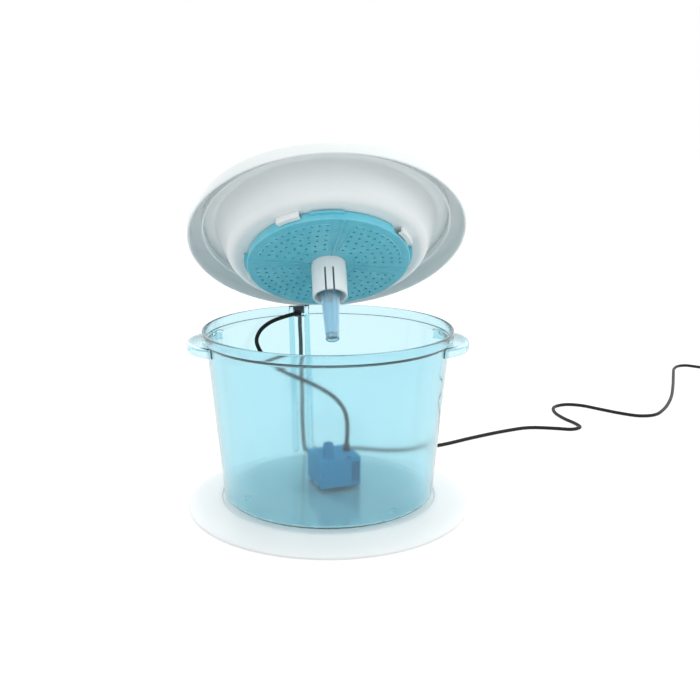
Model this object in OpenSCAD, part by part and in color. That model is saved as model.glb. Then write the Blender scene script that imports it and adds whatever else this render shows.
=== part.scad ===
// Pet water fountain: a clear tank on a white base plate, a submerged pump,
// and a white drinking dish that carries the filter tray and the feed pipe.
// Millimetres, +Z up, origin under the middle of the base plate.
// The dish is drawn as it is held open, tilted about its rear lip.

/* [Base plate] */
// Radius of the base plate
base_r = 150; // [140:1:165]
// Height of the crown beside the tank
base_crown = 11.8; // [10:0.1:14]
// Height of the outer edge
base_edge = 2; // [1.6:0.1:3]
// Thickness of the plate over its hollow
base_wall = 3; // [2:0.1:4]
// Number of stiffening ribs underneath
base_ribs = 8; // [4:1:12]
// Number of rubber pads
pad_count = 5; // [3:1:8]
// Radius of a rubber pad
pad_r = 7; // [5:0.5:9]
// How far the pads hold the plate off the table
pad_proud = 1; // [0.8:0.1:1.5]

/* [Tank] */
// Outer radius of the tank at its bottom
tank_foot_r = 112; // [100:1:118]
// Outer radius of the tank under its rim
tank_neck_r = 125.8; // [120:0.2:127]
// Outer radius of the rim band
rim_r = 130.6; // [128.5:0.1:133]
// Height of the tank from its underside to its rim
tank_h = 179.5; // [165:0.5:200]
// Height of the rim band
rim_band_h = 15; // [12:0.5:20]
// Wall thickness of the tank
tank_wall = 2.4; // [1.8:0.1:3.2]
// Thickness of the rim band
rim_wall = 2.8; // [2:0.1:3.4]
// Bottom corner radius of the tank
tank_corner = 6; // [4:0.5:10]
// Height of the pegs that the tank stands on
peg_h = 3.1; // [2:0.1:4]
// Radius of a peg
peg_r = 3.6; // [2.5:0.1:5]
// Distance of the pegs from the middle
peg_ring_r = 89; // [70:1:95]

/* [Rim grips] */
// How far a grip stands out from the middle of the tank
grip_reach = 147.5; // [140:0.5:149]
// Radius of a grip's rounded outline
grip_r = 55; // [45:1:65]
// Height of a grip
grip_h = 10; // [8:0.5:12]
// Depth of a grip's top below the rim
grip_drop = 13; // [12:0.5:18]

/* [Cable duct] */
// Angle of the duct from the rear towards the left
duct_angle = 15; // [5:1:30]
// Clear width between the two ribs
duct_gap = 13; // [10:0.5:18]
// Width of one rib
duct_rib_w = 5.5; // [3:0.5:8]
// How far the ribs stand out of the wall
duct_rib_depth = 8.5; // [6:0.5:11]
// Drop of the ribs' outer corner below the rim
duct_rib_slope = 6; // [2:0.5:10]
// Depth of the cable notch below the rim
notch_depth = 12.6; // [11:0.1:14]

/* [Drinking dish] */
// Radius of the dish at its lip
dish_r = 145; // [140:0.5:148]
// Height of the brim above the lip
brim_h = 20.5; // [17:0.5:24]
// Wall thickness of the dish
dish_wall = 2.4; // [1.8:0.1:3]
// Radius at which the brim turns down into the basin
basin_r = 119.5; // [110:0.5:122]
// Depth of the basin's underside below the lip
basin_depth = 21; // [16:0.5:26]
// Lean of the basin's wall from upright
basin_lean = 20; // [10:1:30]
// Height of the seat ring's lower edge above the lip
seat_ring_h = 10; // [8:0.5:12]
// Number of drain holes in the outer ring of the basin
drain_count = 24; // [12:1:30]
// Radius of a drain hole
drain_r = 2.4; // [1.5:0.1:3]
// Tilt at which the dish is held open
dish_open = 39.2; // [5:0.1:50]

/* [Pipe collar] */
// Outer radius of the split collar
collar_r = 17.8; // [16:0.1:19]
// Wall thickness of the collar
collar_wall = 3; // [2:0.1:3.5]
// Length of the collar below the basin
collar_len = 48; // [36:0.5:50]
// Number of spring fingers
finger_count = 2; // [1:1:4]
// Width of a spring finger
finger_w = 6.4; // [4:0.1:9]
// Width of a slit beside a finger
slit_w = 1.8; // [1:0.1:2.5]
// Length of a slit
slit_len = 26; // [15:0.5:30]

/* [Filter tray] */
// Radius of the tray
tray_r = 84; // [76:0.5:85]
// Depth of the tray
tray_h = 9.6; // [8:0.1:12]
// Thickness of the tray's floor and wall
tray_wall = 1.8; // [1.4:0.1:2.4]
// Radius of one hole in the tray
tray_hole_r = 1; // [0.8:0.1:1.6]
// Angle of the first radial rib
tray_rib_angle = 11; // [0:1:45]
// How far a bayonet lug stands out
lug_reach = 3; // [2:0.1:4]
// Angle that a lug spans
lug_span = 22; // [14:1:24]
// Angle through which the tray turns to lock
lock_turn = 26; // [24:1:32]
// Thickness of the carbon pad
carbon_h = 3.2; // [2:0.1:3.6]

/* [Feed pipe] */
// Outer radius of the pipe at its lower end
pipe_tip_r = 6.8; // [6.6:0.1:8]
// Outer radius of the pipe under its cone
pipe_neck_r = 9.6; // [8:0.1:11]
// Wall thickness of the pipe
pipe_wall = 1.15; // [0.9:0.05:1.4]
// Length of the sleeve that sits in the collar
sleeve_len = 22; // [14:0.5:24]
// Length of the cone
cone_len = 12; // [8:0.5:16]

/* [Bubble cap] */
// Radius of the cap over the pipe
cap_r = 24; // [20:0.5:30]
// Height of the cap above the basin's floor
cap_h = 14; // [10:0.5:20]
// Number of outlets around the cap
cap_outlets = 8; // [4:1:12]

/* [Pump] */
// Width and depth of the pump
pump_w = 46; // [42:0.5:50]
// Height of the pump without its suction cups
pump_h = 31; // [30:0.5:34]
// Depth of the front cover
cover_d = 5.2; // [4.8:0.1:6]
// Turn of the pump on the tank's floor
pump_turn = 20; // [0:1:30]
// Distance of the outlet from the pump's left side
outlet_x = 11.4; // [10:0.1:13]
// Outer radius of the outlet
outlet_r = 5.35; // [5:0.05:5.5]
// Radius of the outlet's bore
outlet_bore = 3.8; // [3:0.1:4]
// Radius of the rotor magnet
magnet_r = 6; // [5:0.1:6.5]
// Length of the rotor magnet
magnet_len = 15; // [12:0.5:16]
// Radius of the impeller
impeller_r = 10.5; // [9:0.1:11]
// Number of impeller blades
blade_count = 6; // [4:1:9]
// Radius of the impeller shaft
shaft_r = 1; // [0.8:0.05:1.2]
// Height of a suction cup
cup_h = 2.7; // [2:0.1:4]
// Radius of a suction cup
cup_r = 8; // [6:0.5:9]

/* [Power cord] */
// Diameter of the cord
cord_d = 4.6; // [4:0.1:5]
// Number of turns in each of the coil's two layers
coil_turns = 2; // [1:1:3]
// Diameter of the coil at the middle of its turns
coil_d = 52; // [48:1:56]

/* [Hidden] */

$fn = 96;
eps = 0.05;
gap = 0.3;
seat_gap = 0.2;

// Colours, as on the real thing
white = [0.96, 0.97, 0.97];
clear_blue = [0.55, 0.84, 0.89];
deep_blue = [0.1, 0.5, 0.7];
black = [0.08, 0.08, 0.09];
grey = [0.55, 0.56, 0.58];

// Heights in the base plate and the tank
pad_seat = 0.6;
pad_ring_r = 0.86 * base_r;
boss_wall = 1.6;
rib_w = 2;
seat_z = base_crown - 1.6;
seat_r = tank_foot_r + 2;
crown_r = seat_r + 4;
crown_curve = 0.55;
crown_steps = 10;
tank_z = seat_z + seat_gap + peg_h;
rim_z = tank_z + tank_h;
band_z = rim_z - rim_band_h;
floor_z = tank_z + tank_wall;
rim_in_r = rim_r - rim_wall;
peg_angle = 197;
grip_top = rim_z - grip_drop;
grip_centre = grip_reach - grip_r;
grip_edge = 1.5;
notch_floor = rim_z - notch_depth;

// The dish, closed: its lip's plane, and the line that its rear lip turns about
lip_z = rim_z + gap - seat_ring_h;
hinge_point = [0, dish_r + 4.3, lip_z + 17.3];
hinge_axis = [-1, -0.066, 0.011];
basin_floor = -basin_depth + dish_wall;
brim_edge_a = 15;
brim_edge_b = 10;
shoulder_r = 7;
basin_bend_r = 10;
wall_top_r = basin_r - shoulder_r * cos(basin_lean);
wall_top_h = brim_h - shoulder_r + shoulder_r * sin(basin_lean);
bend_h = basin_floor + basin_bend_r;
wall_drop = wall_top_h - (bend_h - basin_bend_r * sin(basin_lean));
bend_r = wall_top_r - wall_drop * tan(basin_lean) - basin_bend_r * cos(basin_lean);
seat_ring_r = (rim_r + rim_in_r) / 2;
seat_ring_w = 2;
collar_bore = collar_r - collar_wall;
drain_rings = [[0.6 * basin_r, drain_count], [0.42 * basin_r, 0.75 * drain_count]];

// The filter tray, in the dish's own frame
tray_top = -basin_depth - gap - seat_gap;
tray_bottom = tray_top - tray_h;
tray_hub_r = collar_r + gap;
tray_hub_w = 1.6;
lug_count = 4;
lug_top = tray_top - 1.4;
lug_h = 2.4;
hook_span = 16;
hook_wall = 2.2;
shelf_top = lug_top - lug_h - gap;
sector_count = 4;
sector_rib_w = 2.4;
sector_rib_h = 1;
hole_pitch = 11;
hole_ring_first = tray_hub_r + 12;
hole_ring_last = tray_r - 8;
notch_start = 321;
notch_span = 16;
pad_in_r = tray_hub_r + tray_hub_w + gap;
pad_out_r = tray_r - tray_wall - 1;
carbon_z = tray_bottom + tray_wall;
sponge_z = carbon_z + carbon_h + gap;
sponge_h = -basin_depth - gap - sponge_z;

// The feed pipe and the bubble cap, in the dish's own frame
sleeve_r = collar_bore - gap;
sleeve_top = -basin_depth - 13;
cone_top = sleeve_top - sleeve_len;
cone_end = cone_top - cone_len;
pump_z = floor_z + cup_h;
pump_top = pump_z + pump_h;
outlet_top = pump_top + 16.3;
pipe_end = outlet_top + 0.4 - lip_z;
seal_h = 3;
seal_seat_h = 6;
seal_w = 1.2;
cap_wall = 1.6;
cap_z = basin_floor + seat_gap;
spigot_len = cap_z - sleeve_top - 1;
outlet_w = 4;
outlet_h = 5;

// The pump, in its own frame: outlet on the origin, front towards -Y
pump_left = -outlet_x;
pump_right = pump_w - outlet_x;
pump_front = -10.8;
pump_round = 4;
body_front = pump_front + cover_d;
cover_back = body_front - 0.1;
pump_back = pump_front + pump_w;
rotor_x = (pump_left + pump_right) / 2;
rotor_z = pump_z + pump_h / 2;
chamber_r = impeller_r + 1.5;
chamber_back = 4.5;
well_r = magnet_r + 0.8;
impeller_front = body_front + 1.2;
impeller_back = chamber_back - 1.2;
blade_w = 1;
hub_r = 3.2;
magnet_back = impeller_back + magnet_len;
well_back = magnet_back + 0.6;
bush_len = 3;
bush_r = 2.4;
shaft_play = 0.05;
cover_plate = 1.4;
cover_shell = 1.6;
plate_front = cover_back - cover_plate;
inlet_r = 6.5;
bush_hub_r = bush_r + 0.9;
spoke_count = 3;
spoke_w = 1.2;
front_bush_len = cover_plate + 1;
cover_seal_r = chamber_r + 0.8;
cover_seal_w = 1.4;
cover_seal_d = 0.8;

// Slats in the pump's cover, and the slider behind them
slat_count = 4;
slat_w = 1.2;
slat_pitch = 2.4;
slat_x = pump_right - 11.4;
slat_margin = 4;
slider_travel = 3;
slider_w = 3.8;
slider_x = slat_x - slider_w - 0.4;
slider_t = 1.2;
slider_tab = 3;
slider_proud = 1.4;

// The stator's room at the back of the pump
core_h = 12;
leg_w = 4.5;
leg_front = chamber_back + 2.2;
core_half = well_r + 1.4;
core_out = core_half + leg_w;
room_front = well_back + bush_len + 1.5;
room_half = 14.5;
room_h = 20;
cap_d = 2.2;
room_back = pump_back - cap_d;
yoke_t = 5;
yoke_y = (room_front + room_back) / 2 - yoke_t / 2;
coil_half = core_half - 0.7;
winding_t = 1.9;
gland_x = 27;
gland_y = 15;
gland_r = 4.2;
gland_h = 8.5;
gland_stem_r = 2.5;
gland_stem = 8;
cup_stem_r = 2;
cup_stem = 3;
cup_neck_r = 3.5;
cup_inset = 6.5;

// The power cord. The points of its run and its tail follow the real cord by eye.
cord_r = cord_d / 2;
cord_sides = 8;
gland_top = [gland_x * cos(pump_turn) - gland_y * sin(pump_turn),
    gland_x * sin(pump_turn) + gland_y * cos(pump_turn), pump_top + gland_h];
coil_step = cord_d + 0.6;
coil_gap_min = 0.4;
coil_centre = [672, 572, 3.4];
coil_angle = 228;
coil_sides = 6;
loop_rings = 24;
loops = 2 * coil_turns + 0.5;
coil_turn_r = coil_d / 2 - coil_step * (coil_turns + 0.25) / 2;
tie_t = 0.8;
tie_w = 8;
tie_gap = 0.7;
run_points = [[21, 25, 67], [21, 31, 79], [18, 39, 91], [9, 48, 101], [-4, 58, 108],
    [-20, 68, 114], [-37, 73, 120], [-54, 75, 128], [-68, 77, 138], [-77, 80, 149],
    [-81, 84, 160], [-77, 90, 170], [-66, 98, 178], [-53, 106, 182], [-42, 113, 184],
    [-35, 118, 185], [-33, 123, 184], [-33, 126, 179], [-33, 125, 170], [-32, 122, 148],
    [-32, 120, 120], [-31, 117, 90], [-31, 115, 60], [-30, 113, 36], [-29, 115, 24],
    [-28, 121, 17], [-25, 131, 14], [-20, 144, 11], [-11, 158, 5], [4, 167, 2.4],
    [34, 168, 2.4], [69, 160, 2.4], [98, 160, 2.4], [121, 169, 2.4], [146, 180, 2.4],
    [187, 207, 2.4], [237, 236, 2.4], [270, 249, 2.4], [305, 245, 2.4], [325, 241, 2.4],
    [338, 250, 2.4], [336, 266, 2.4], [326, 290, 2.4], [320, 320, 2.4], [326, 346, 2.4],
    [345, 358, 2.4], [366, 353, 2.4], [388, 334, 2.4], [411, 314, 2.4], [434, 301, 2.4],
    [456, 305, 2.4], [479, 333, 2.4], [509, 390, 2.4], [538, 463, 2.4], [563, 532, 2.4],
    [577, 568, 2.4], [590, 585, 2.4], [604, 589, 2.4], [616, 582, 2.4], [627, 570, 3]];
tail_points = [[682, 605, 6.5], [674, 613, 4], [668, 623, 2.4], [668, 636, 2.4],
    [676, 647, 2.4], [690, 652, 2.4], [706, 652, 3.5], [720, 651, 6]];
plug_at = [732, 651, 7];
plug_w = 35;
plug_t = 13.7;
plug_len = 24;
plug_sleeve = 14;
pin_r = 2;
pin_len = 19;
pin_pitch = 18.6;

// Shared functions and shapes

function arc(cx, cz, rx, rz, from, to, steps = 8) =
    [for (i = [0:steps]) let (a = from + (to - from) * i / steps)
        [cx + rx * cos(a), cz + rz * sin(a)]];

function unit(v) = v / norm(v);

function square_to(v, way) = unit(v - (v * way) * way);

// Way along a path at one of its points, with the ends' own ways given
function way_at(p, i, head, tail) =
    i == 0 ? head : i == len(p) - 1 ? tail : unit(unit(p[i + 1] - p[i]) + unit(p[i] - p[i - 1]));

function ways_of(p, head, tail) = [for (i = [0:len(p) - 1]) way_at(p, i, head, tail)];

// A side direction at each point, carried along the path without twist
function sides_of(ways, seed) =
    [for (i = 0, s = square_to(seed, ways[0]); i < len(ways);
        i = i + 1, s = i < len(ways) ? square_to(s, ways[i]) : s) s];

function wall_faces(n, m) =
    [for (i = [0:n - 2], k = [0:m - 1], upper = [0, 1])
        let (a = i * m + k, b = i * m + (k + 1) % m)
        upper == 0 ? [a, a + m, b + m] : [a, b + m, b]];

function end_faces(n, m) =
    [for (k = [1:m - 2], far = [0, 1])
        far == 0 ? [0, k, k + 1] : [(n - 1) * m, (n - 1) * m + k + 1, (n - 1) * m + k]];

// A closed tube of m sides swept along the points p
module tube(p, r, m, head, tail, seed) {
    ways = ways_of(p, head, tail);
    sides = sides_of(ways, seed);
    rings = [for (i = [0:len(p) - 1], k = [0:m - 1])
        p[i] + r * (cos(360 * k / m) * sides[i] + sin(360 * k / m) * cross(ways[i], sides[i]))];
    polyhedron(rings, concat(wall_faces(len(p), m), end_faces(len(p), m)));
}

module ring(r_out, r_in, h) {
    difference() {
        cylinder(r = r_out, h = h);
        translate([0, 0, -eps]) cylinder(r = r_in, h = h + 2 * eps);
    }
}

// A piece of a ring, from one angle over a span
module ring_part(r_out, r_in, h, from, span) {
    rotate([0, 0, from]) rotate_extrude(angle = span) translate([r_in, 0]) square([r_out - r_in, h]);
}

// Turns the drawing from the closed dish to the dish held open
module held_open() {
    translate(hinge_point) rotate(a = dish_open, v = hinge_axis) translate(-hinge_point)
        translate([0, 0, lip_z]) children();
}

// Places what is drawn in the pump's own frame
module at_pump() {
    rotate([0, 0, pump_turn]) children();
}

// A cylinder along the rotor's axis, from one depth to another
module along_rotor(r, from, to) {
    translate([rotor_x, from, rotor_z]) rotate([-90, 0, 0]) cylinder(r = r, h = to - from);
}

module block(from, to) {
    translate(from) cube(to - from);
}

// Base plate and its pads

function crown_at(t) = pad_proud + base_edge + (base_crown - pad_proud - base_edge) * pow(t, crown_curve);

module plate_solid() {
    rotate_extrude() polygon(concat(
        [[0, pad_proud], [base_r, pad_proud]],
        [for (i = [0:crown_steps]) let (t = pow(i / crown_steps, 1.8))
            [base_r - t * (base_r - crown_r), crown_at(t)]],
        [[seat_r + 1, base_crown], [seat_r, base_crown - 1], [seat_r, seat_z], [0, seat_z]]));
}

module plate_hollow() {
    rotate_extrude() polygon(concat(
        [[0, pad_proud - eps], [base_r - base_wall, pad_proud - eps]],
        [for (i = [2:2:crown_steps]) let (t = pow(i / crown_steps, 1.8))
            [base_r - base_wall - t * (base_r - crown_r), max(crown_at(t) - base_wall, pad_proud)]],
        [[seat_r, seat_z - base_wall], [0, seat_z - base_wall]]));
}

module at_pads() {
    for (i = [0:pad_count - 1]) {
        rotate([0, 0, 360 * (i + 0.5) / pad_count - 90]) translate([pad_ring_r, 0, 0]) children();
    }
}

module base_plate() {
    color(white) difference() {
        union() {
            difference() {
                plate_solid();
                plate_hollow();
            }
            intersection() {
                plate_solid();
                union() {
                    for (i = [0:base_ribs - 1]) {
                        rotate([0, 0, 360 * i / base_ribs]) translate([0, -rib_w / 2, pad_proud])
                            cube([base_r - base_wall / 2, rib_w, base_crown]);
                    }
                    at_pads() cylinder(r = pad_r + boss_wall, h = base_crown);
                }
            }
        }
        at_pads() cylinder(r = pad_r, h = pad_proud + pad_seat);
    }
}

module base_pads() {
    color(grey) at_pads() cylinder(r = pad_r, h = pad_proud + pad_seat);
}

// Tank

module tank_outside() {
    rotate_extrude() polygon(concat(
        [[0, tank_z]],
        arc(tank_foot_r - tank_corner, tank_z + tank_corner, tank_corner, tank_corner, -90, 0),
        [[tank_neck_r, band_z - 2], [(tank_neck_r + rim_r) / 2, band_z], [rim_r, band_z + 3]],
        arc(rim_r - rim_wall / 2, rim_z - rim_wall / 2, rim_wall / 2, rim_wall / 2, 0, 90),
        [[0, rim_z]]));
}

module tank_inside() {
    inner_r = tank_foot_r - tank_wall;
    corner = max(tank_corner - tank_wall, 1);
    rotate_extrude() polygon(concat(
        [[0, floor_z]],
        arc(inner_r - corner, floor_z + corner, corner, corner, -90, 0),
        [[tank_neck_r - tank_wall, band_z - 2], [rim_in_r, band_z + 2]],
        arc(rim_r - rim_wall / 2, rim_z - rim_wall / 2, rim_wall / 2, rim_wall / 2, 180, 90),
        [[rim_r - rim_wall / 2, rim_z + eps], [0, rim_z + eps]]));
}

module grip_outline(r, top) {
    rotate_extrude() polygon([[0, 0], [r, 0], [r, top - grip_edge], [r - grip_edge, top], [0, top]]);
}

module grips() {
    for (side = [0, 180]) {
        rotate([0, 0, side]) translate([grip_centre, 0, grip_top - grip_h]) difference() {
            grip_outline(grip_r, grip_h);
            translate([0, 0, -eps]) grip_outline(grip_r - tank_wall, grip_h - tank_wall + eps);
        }
    }
}

// The two ribs that guide the cord down the back, with the sides of its notch
module duct_ribs() {
    out_low = tank_foot_r + duct_rib_depth;
    out_high = tank_neck_r + duct_rib_depth;
    for (side = [-1, 1]) {
        rotate([0, 0, 90 + duct_angle])
            translate([0, side * (duct_gap + duct_rib_w) / 2 + duct_rib_w / 2, 0]) rotate([90, 0, 0])
                linear_extrude(duct_rib_w) polygon([
                    [tank_foot_r - tank_wall / 2, tank_z + tank_corner],
                    [out_low - 2, tank_z + tank_corner],
                    [out_low, tank_z + tank_corner + 2],
                    [out_high, band_z], [out_high, rim_z - duct_rib_slope], [rim_r, rim_z - 0.5],
                    [rim_r - rim_wall / 2, rim_z], [rim_in_r, band_z + 2],
                    [tank_neck_r - tank_wall / 2, band_z - 2]]);
    }
}

module cord_notch() {
    rotate([0, 0, 90 + duct_angle]) {
        block([tank_neck_r - 2 * tank_wall, -duct_gap / 2, notch_floor],
            [tank_neck_r + 2 * duct_rib_depth, duct_gap / 2, rim_z + 1]);
        block([tank_neck_r, -duct_gap / 2, band_z - 4],
            [tank_neck_r + 2 * duct_rib_depth, duct_gap / 2, rim_z + 1]);
    }
}

module pegs() {
    for (i = [0:2]) {
        rotate([0, 0, peg_angle + 120 * i]) translate([peg_ring_r, 0, tank_z - peg_h])
            cylinder(r = peg_r, h = peg_h + tank_wall / 2);
    }
}

module tank() {
    color(clear_blue) {
        difference() {
            union() {
                tank_outside();
                grips();
                duct_ribs();
            }
            tank_inside();
            cord_notch();
        }
        pegs();
    }
}

// Drinking dish, bubble cap, filter and feed pipe

// One skin of the dish, from its lip to its floor, set in by the wall's thickness t
function dish_skin(t) = concat(
    [[dish_r - t, 0]],
    arc(dish_r - brim_edge_a, brim_h - brim_edge_b, brim_edge_a - t, brim_edge_b - t, 0, 90),
    arc(basin_r, brim_h - shoulder_r, shoulder_r - t, shoulder_r - t, 90, 180 - basin_lean),
    arc(bend_r, bend_h, basin_bend_r + t, basin_bend_r + t, -basin_lean, -90),
    [[collar_bore, basin_floor - t]]);

function reversed(list) = [for (i = [len(list) - 1:-1:0]) list[i]];

module dish_shell() {
    rotate_extrude() polygon(concat(dish_skin(0), reversed(dish_skin(dish_wall))));
}

module seat_ring() {
    translate([0, 0, seat_ring_h])
        ring(seat_ring_r + seat_ring_w / 2, seat_ring_r - seat_ring_w / 2, brim_h - seat_ring_h - dish_wall / 2);
}

module collar() {
    difference() {
        translate([0, 0, -basin_depth - collar_len])
            ring(collar_r, collar_bore, collar_len + dish_wall / 2);
        for (i = [0:finger_count - 1], side = [-1, 1]) {
            rotate([0, 0, 270 + 360 * i / finger_count])
                translate([0, side * (finger_w + slit_w) / 2, 0])
                    block([0, -slit_w / 2, -basin_depth - collar_len - 1],
                        [collar_r + 1, slit_w / 2, -basin_depth - collar_len + slit_len]);
        }
    }
}

module tray_hooks() {
    in_r = tray_r + gap;
    leg_r = tray_r + lug_reach + gap;
    for (i = [0:lug_count - 1]) {
        from = 360 * i / lug_count - lock_turn - hook_span / 2;
        translate([0, 0, shelf_top - hook_wall]) {
            ring_part(leg_r + hook_wall, leg_r, -basin_depth + dish_wall / 2 - shelf_top + hook_wall,
                from, hook_span);
            ring_part(leg_r + hook_wall, in_r, hook_wall, from, hook_span);
        }
    }
}

module lid_dish() {
    color(white) held_open() {
        difference() {
            union() {
                dish_shell();
                seat_ring();
            }
            for (drain = drain_rings, i = [0:floor(drain[1]) - 1]) {
                rotate([0, 0, 360 * i / floor(drain[1])]) translate([drain[0], 0, -basin_depth - 1])
                    cylinder(r = drain_r, h = dish_wall + 2, $fn = 24);
            }
        }
        collar();
        tray_hooks();
    }
}

module bubble_cap() {
    color(white) held_open() translate([0, 0, cap_z]) {
        difference() {
            rotate_extrude() polygon(concat(
                arc(0, 0, cap_r, cap_h, 0, 90, 10), [[0, cap_h - cap_wall]],
                reversed(arc(0, cap_wall, cap_r - cap_wall, cap_h - 2 * cap_wall, 0, 90, 10)),
                [[sleeve_r - cap_wall, cap_wall], [sleeve_r - cap_wall, -spigot_len],
                    [sleeve_r, -spigot_len], [sleeve_r, 0]]));
            for (i = [0:cap_outlets - 1]) {
                rotate([0, 0, 360 * i / cap_outlets])
                    block([cap_r / 2, -outlet_w / 2, cap_wall], [cap_r + 1, outlet_w / 2, cap_wall + outlet_h]);
            }
        }
    }
}

module filter_sponge() {
    color(deep_blue) held_open() translate([0, 0, sponge_z]) ring(pad_out_r, pad_in_r, sponge_h);
}

module carbon_pad() {
    color(black) held_open() translate([0, 0, carbon_z]) ring(pad_out_r, pad_in_r, carbon_h);
}

// Holes of one sector of the tray, in rows that follow its rim
module sector_holes() {
    sector = 360 / sector_count;
    for (r = [hole_ring_first:hole_pitch:hole_ring_last]) {
        holes = floor((2 * PI * r / sector_count - sector_rib_w - 6) / hole_pitch);
        for (i = [0:holes - 1]) {
            rotate([0, 0, sector * (i + 0.5) / holes]) translate([r, 0, tray_bottom - 1])
                cylinder(r = tray_hole_r, h = tray_wall + 2, $fn = 16);
        }
    }
}

module filter_tray() {
    color(clear_blue) held_open() {
        difference() {
            translate([0, 0, tray_bottom]) union() {
                difference() {
                    cylinder(r = tray_r, h = tray_h);
                    translate([0, 0, tray_wall]) cylinder(r = tray_r - tray_wall, h = tray_h);
                }
                cylinder(r = tray_hub_r + tray_hub_w, h = tray_h - gap);
            }
            translate([0, 0, tray_bottom - 1]) cylinder(r = tray_hub_r, h = tray_h + 2);
            for (i = [0:sector_count - 1]) {
                rotate([0, 0, tray_rib_angle + 360 * i / sector_count]) sector_holes();
            }
            translate([0, 0, tray_bottom + tray_wall])
                ring_part(tray_r + 1, tray_r - tray_wall - eps, tray_h, notch_start, notch_span);
        }
        for (i = [0:sector_count - 1]) {
            rotate([0, 0, tray_rib_angle + 360 * i / sector_count])
                block([tray_hub_r + tray_hub_w / 2, -sector_rib_w / 2, tray_bottom - sector_rib_h],
                    [tray_r - tray_wall, sector_rib_w / 2, tray_bottom + tray_wall / 2]);
        }
        for (i = [0:lug_count - 1]) {
            translate([0, 0, lug_top - lug_h])
                ring_part(tray_r + lug_reach, tray_r - tray_wall / 2, lug_h,
                    360 * i / lug_count - lug_span / 2, lug_span);
        }
    }
}

module feed_pipe() {
    bore_tip = pipe_tip_r - pipe_wall;
    color(deep_blue) held_open() rotate_extrude() polygon([
        [sleeve_r, sleeve_top], [sleeve_r, cone_top], [pipe_neck_r, cone_end],
        [pipe_tip_r, pipe_end + seal_seat_h], [pipe_tip_r, pipe_end], [bore_tip, pipe_end],
        [bore_tip, pipe_end + seal_seat_h], [pipe_neck_r - pipe_wall, cone_end],
        [sleeve_r - pipe_wall, cone_top], [sleeve_r - pipe_wall, sleeve_top]]);
}

module pipe_seal() {
    seal_r = pipe_tip_r - pipe_wall;
    color(grey) held_open() translate([0, 0, pipe_end + seal_seat_h - seal_h])
        ring(seal_r, seal_r - seal_w, seal_h);
}

// Pump

module pump_body() {
    color(deep_blue) at_pump() difference() {
        union() {
            block([pump_left, body_front, pump_z], [pump_right, pump_back, pump_top]);
            cylinder(r = outlet_r, h = outlet_top);
            intersection() {
                translate([0, 0, pump_top - 1]) cylinder(r = outlet_r + 1.6, h = 3);
                block([pump_left, body_front, pump_top - 1], [pump_right, pump_back, pump_top + 2]);
            }
        }
        translate([0, 0, -1]) cylinder(r = outlet_r + 2, h = pump_z + 1);
        translate([0, 0, rotor_z]) cylinder(r = outlet_bore, h = outlet_top);
        along_rotor(chamber_r, body_front - 1, chamber_back);
        along_rotor(well_r, body_front - 1, well_back);
        along_rotor(bush_r, body_front - 1, well_back + bush_len);
        block([rotor_x - room_half, room_front, rotor_z - room_h / 2],
            [rotor_x + room_half, pump_back + 1, rotor_z + room_h / 2]);
        for (side = [-1, 1]) {
            block([rotor_x + side * (core_half + core_out) / 2 - leg_w / 2, leg_front, rotor_z - core_h / 2],
                [rotor_x + side * (core_half + core_out) / 2 + leg_w / 2, room_front + 1, rotor_z + core_h / 2]);
        }
        translate([gland_x, gland_y, pump_top - gland_stem]) cylinder(r = gland_stem_r, h = gland_stem + 1);
        translate([gland_x, gland_y, pump_top - gland_stem - gland_stem_r + 1]) rotate([-90, 0, 0])
            cylinder(r = gland_stem_r, h = room_front - gland_y + 1);
        at_cups() translate([0, 0, cup_h - eps]) cylinder(r = cup_stem_r, h = cup_stem + eps);
    }
}

module stator_core() {
    color(grey) at_pump() {
        block([rotor_x - core_out, yoke_y, rotor_z - core_h / 2],
            [rotor_x + core_out, yoke_y + yoke_t, rotor_z + core_h / 2]);
        for (side = [-1, 1]) {
            block([rotor_x + side * (core_half + core_out) / 2 - leg_w / 2, leg_front, rotor_z - core_h / 2],
                [rotor_x + side * (core_half + core_out) / 2 + leg_w / 2, yoke_y + eps, rotor_z + core_h / 2]);
        }
    }
}

module stator_coil() {
    color([0.72, 0.4, 0.2]) at_pump() difference() {
        block([rotor_x - coil_half, yoke_y - winding_t, rotor_z - core_h / 2 - winding_t],
            [rotor_x + coil_half, yoke_y + yoke_t + winding_t, rotor_z + core_h / 2 + winding_t]);
        block([rotor_x - core_out, yoke_y, rotor_z - core_h / 2],
            [rotor_x + core_out, yoke_y + yoke_t, rotor_z + core_h / 2]);
    }
}

module potting_cap() {
    color(black) at_pump()
        block([rotor_x - room_half, room_back, rotor_z - room_h / 2],
            [rotor_x + room_half, pump_back, rotor_z + room_h / 2]);
}

module cord_gland() {
    color(black) at_pump() translate([gland_x, gland_y, pump_top - gland_stem]) {
        cylinder(r = gland_stem_r, h = gland_stem + 1);
        translate([0, 0, gland_stem]) cylinder(r1 = gland_r, r2 = gland_r - 1, h = gland_h);
    }
}

module at_cups() {
    for (x = [pump_left + cup_inset, pump_right - cup_inset], y = [body_front + cup_inset, pump_back - cup_inset]) {
        translate([x, y, floor_z]) children();
    }
}

module suction_cups() {
    color(grey) at_pump() at_cups() {
        cylinder(r1 = cup_r, r2 = cup_neck_r, h = cup_h);
        cylinder(r = cup_stem_r, h = cup_h + cup_stem);
    }
}

module rotor_shaft() {
    color(white) at_pump() along_rotor(shaft_r, plate_front + 0.4, well_back + bush_len - 0.5);
}

module rear_bush() {
    color(black) at_pump() difference() {
        along_rotor(bush_r, well_back, well_back + bush_len);
        along_rotor(shaft_r, well_back - 1, well_back + bush_len - 0.5);
    }
}

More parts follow.
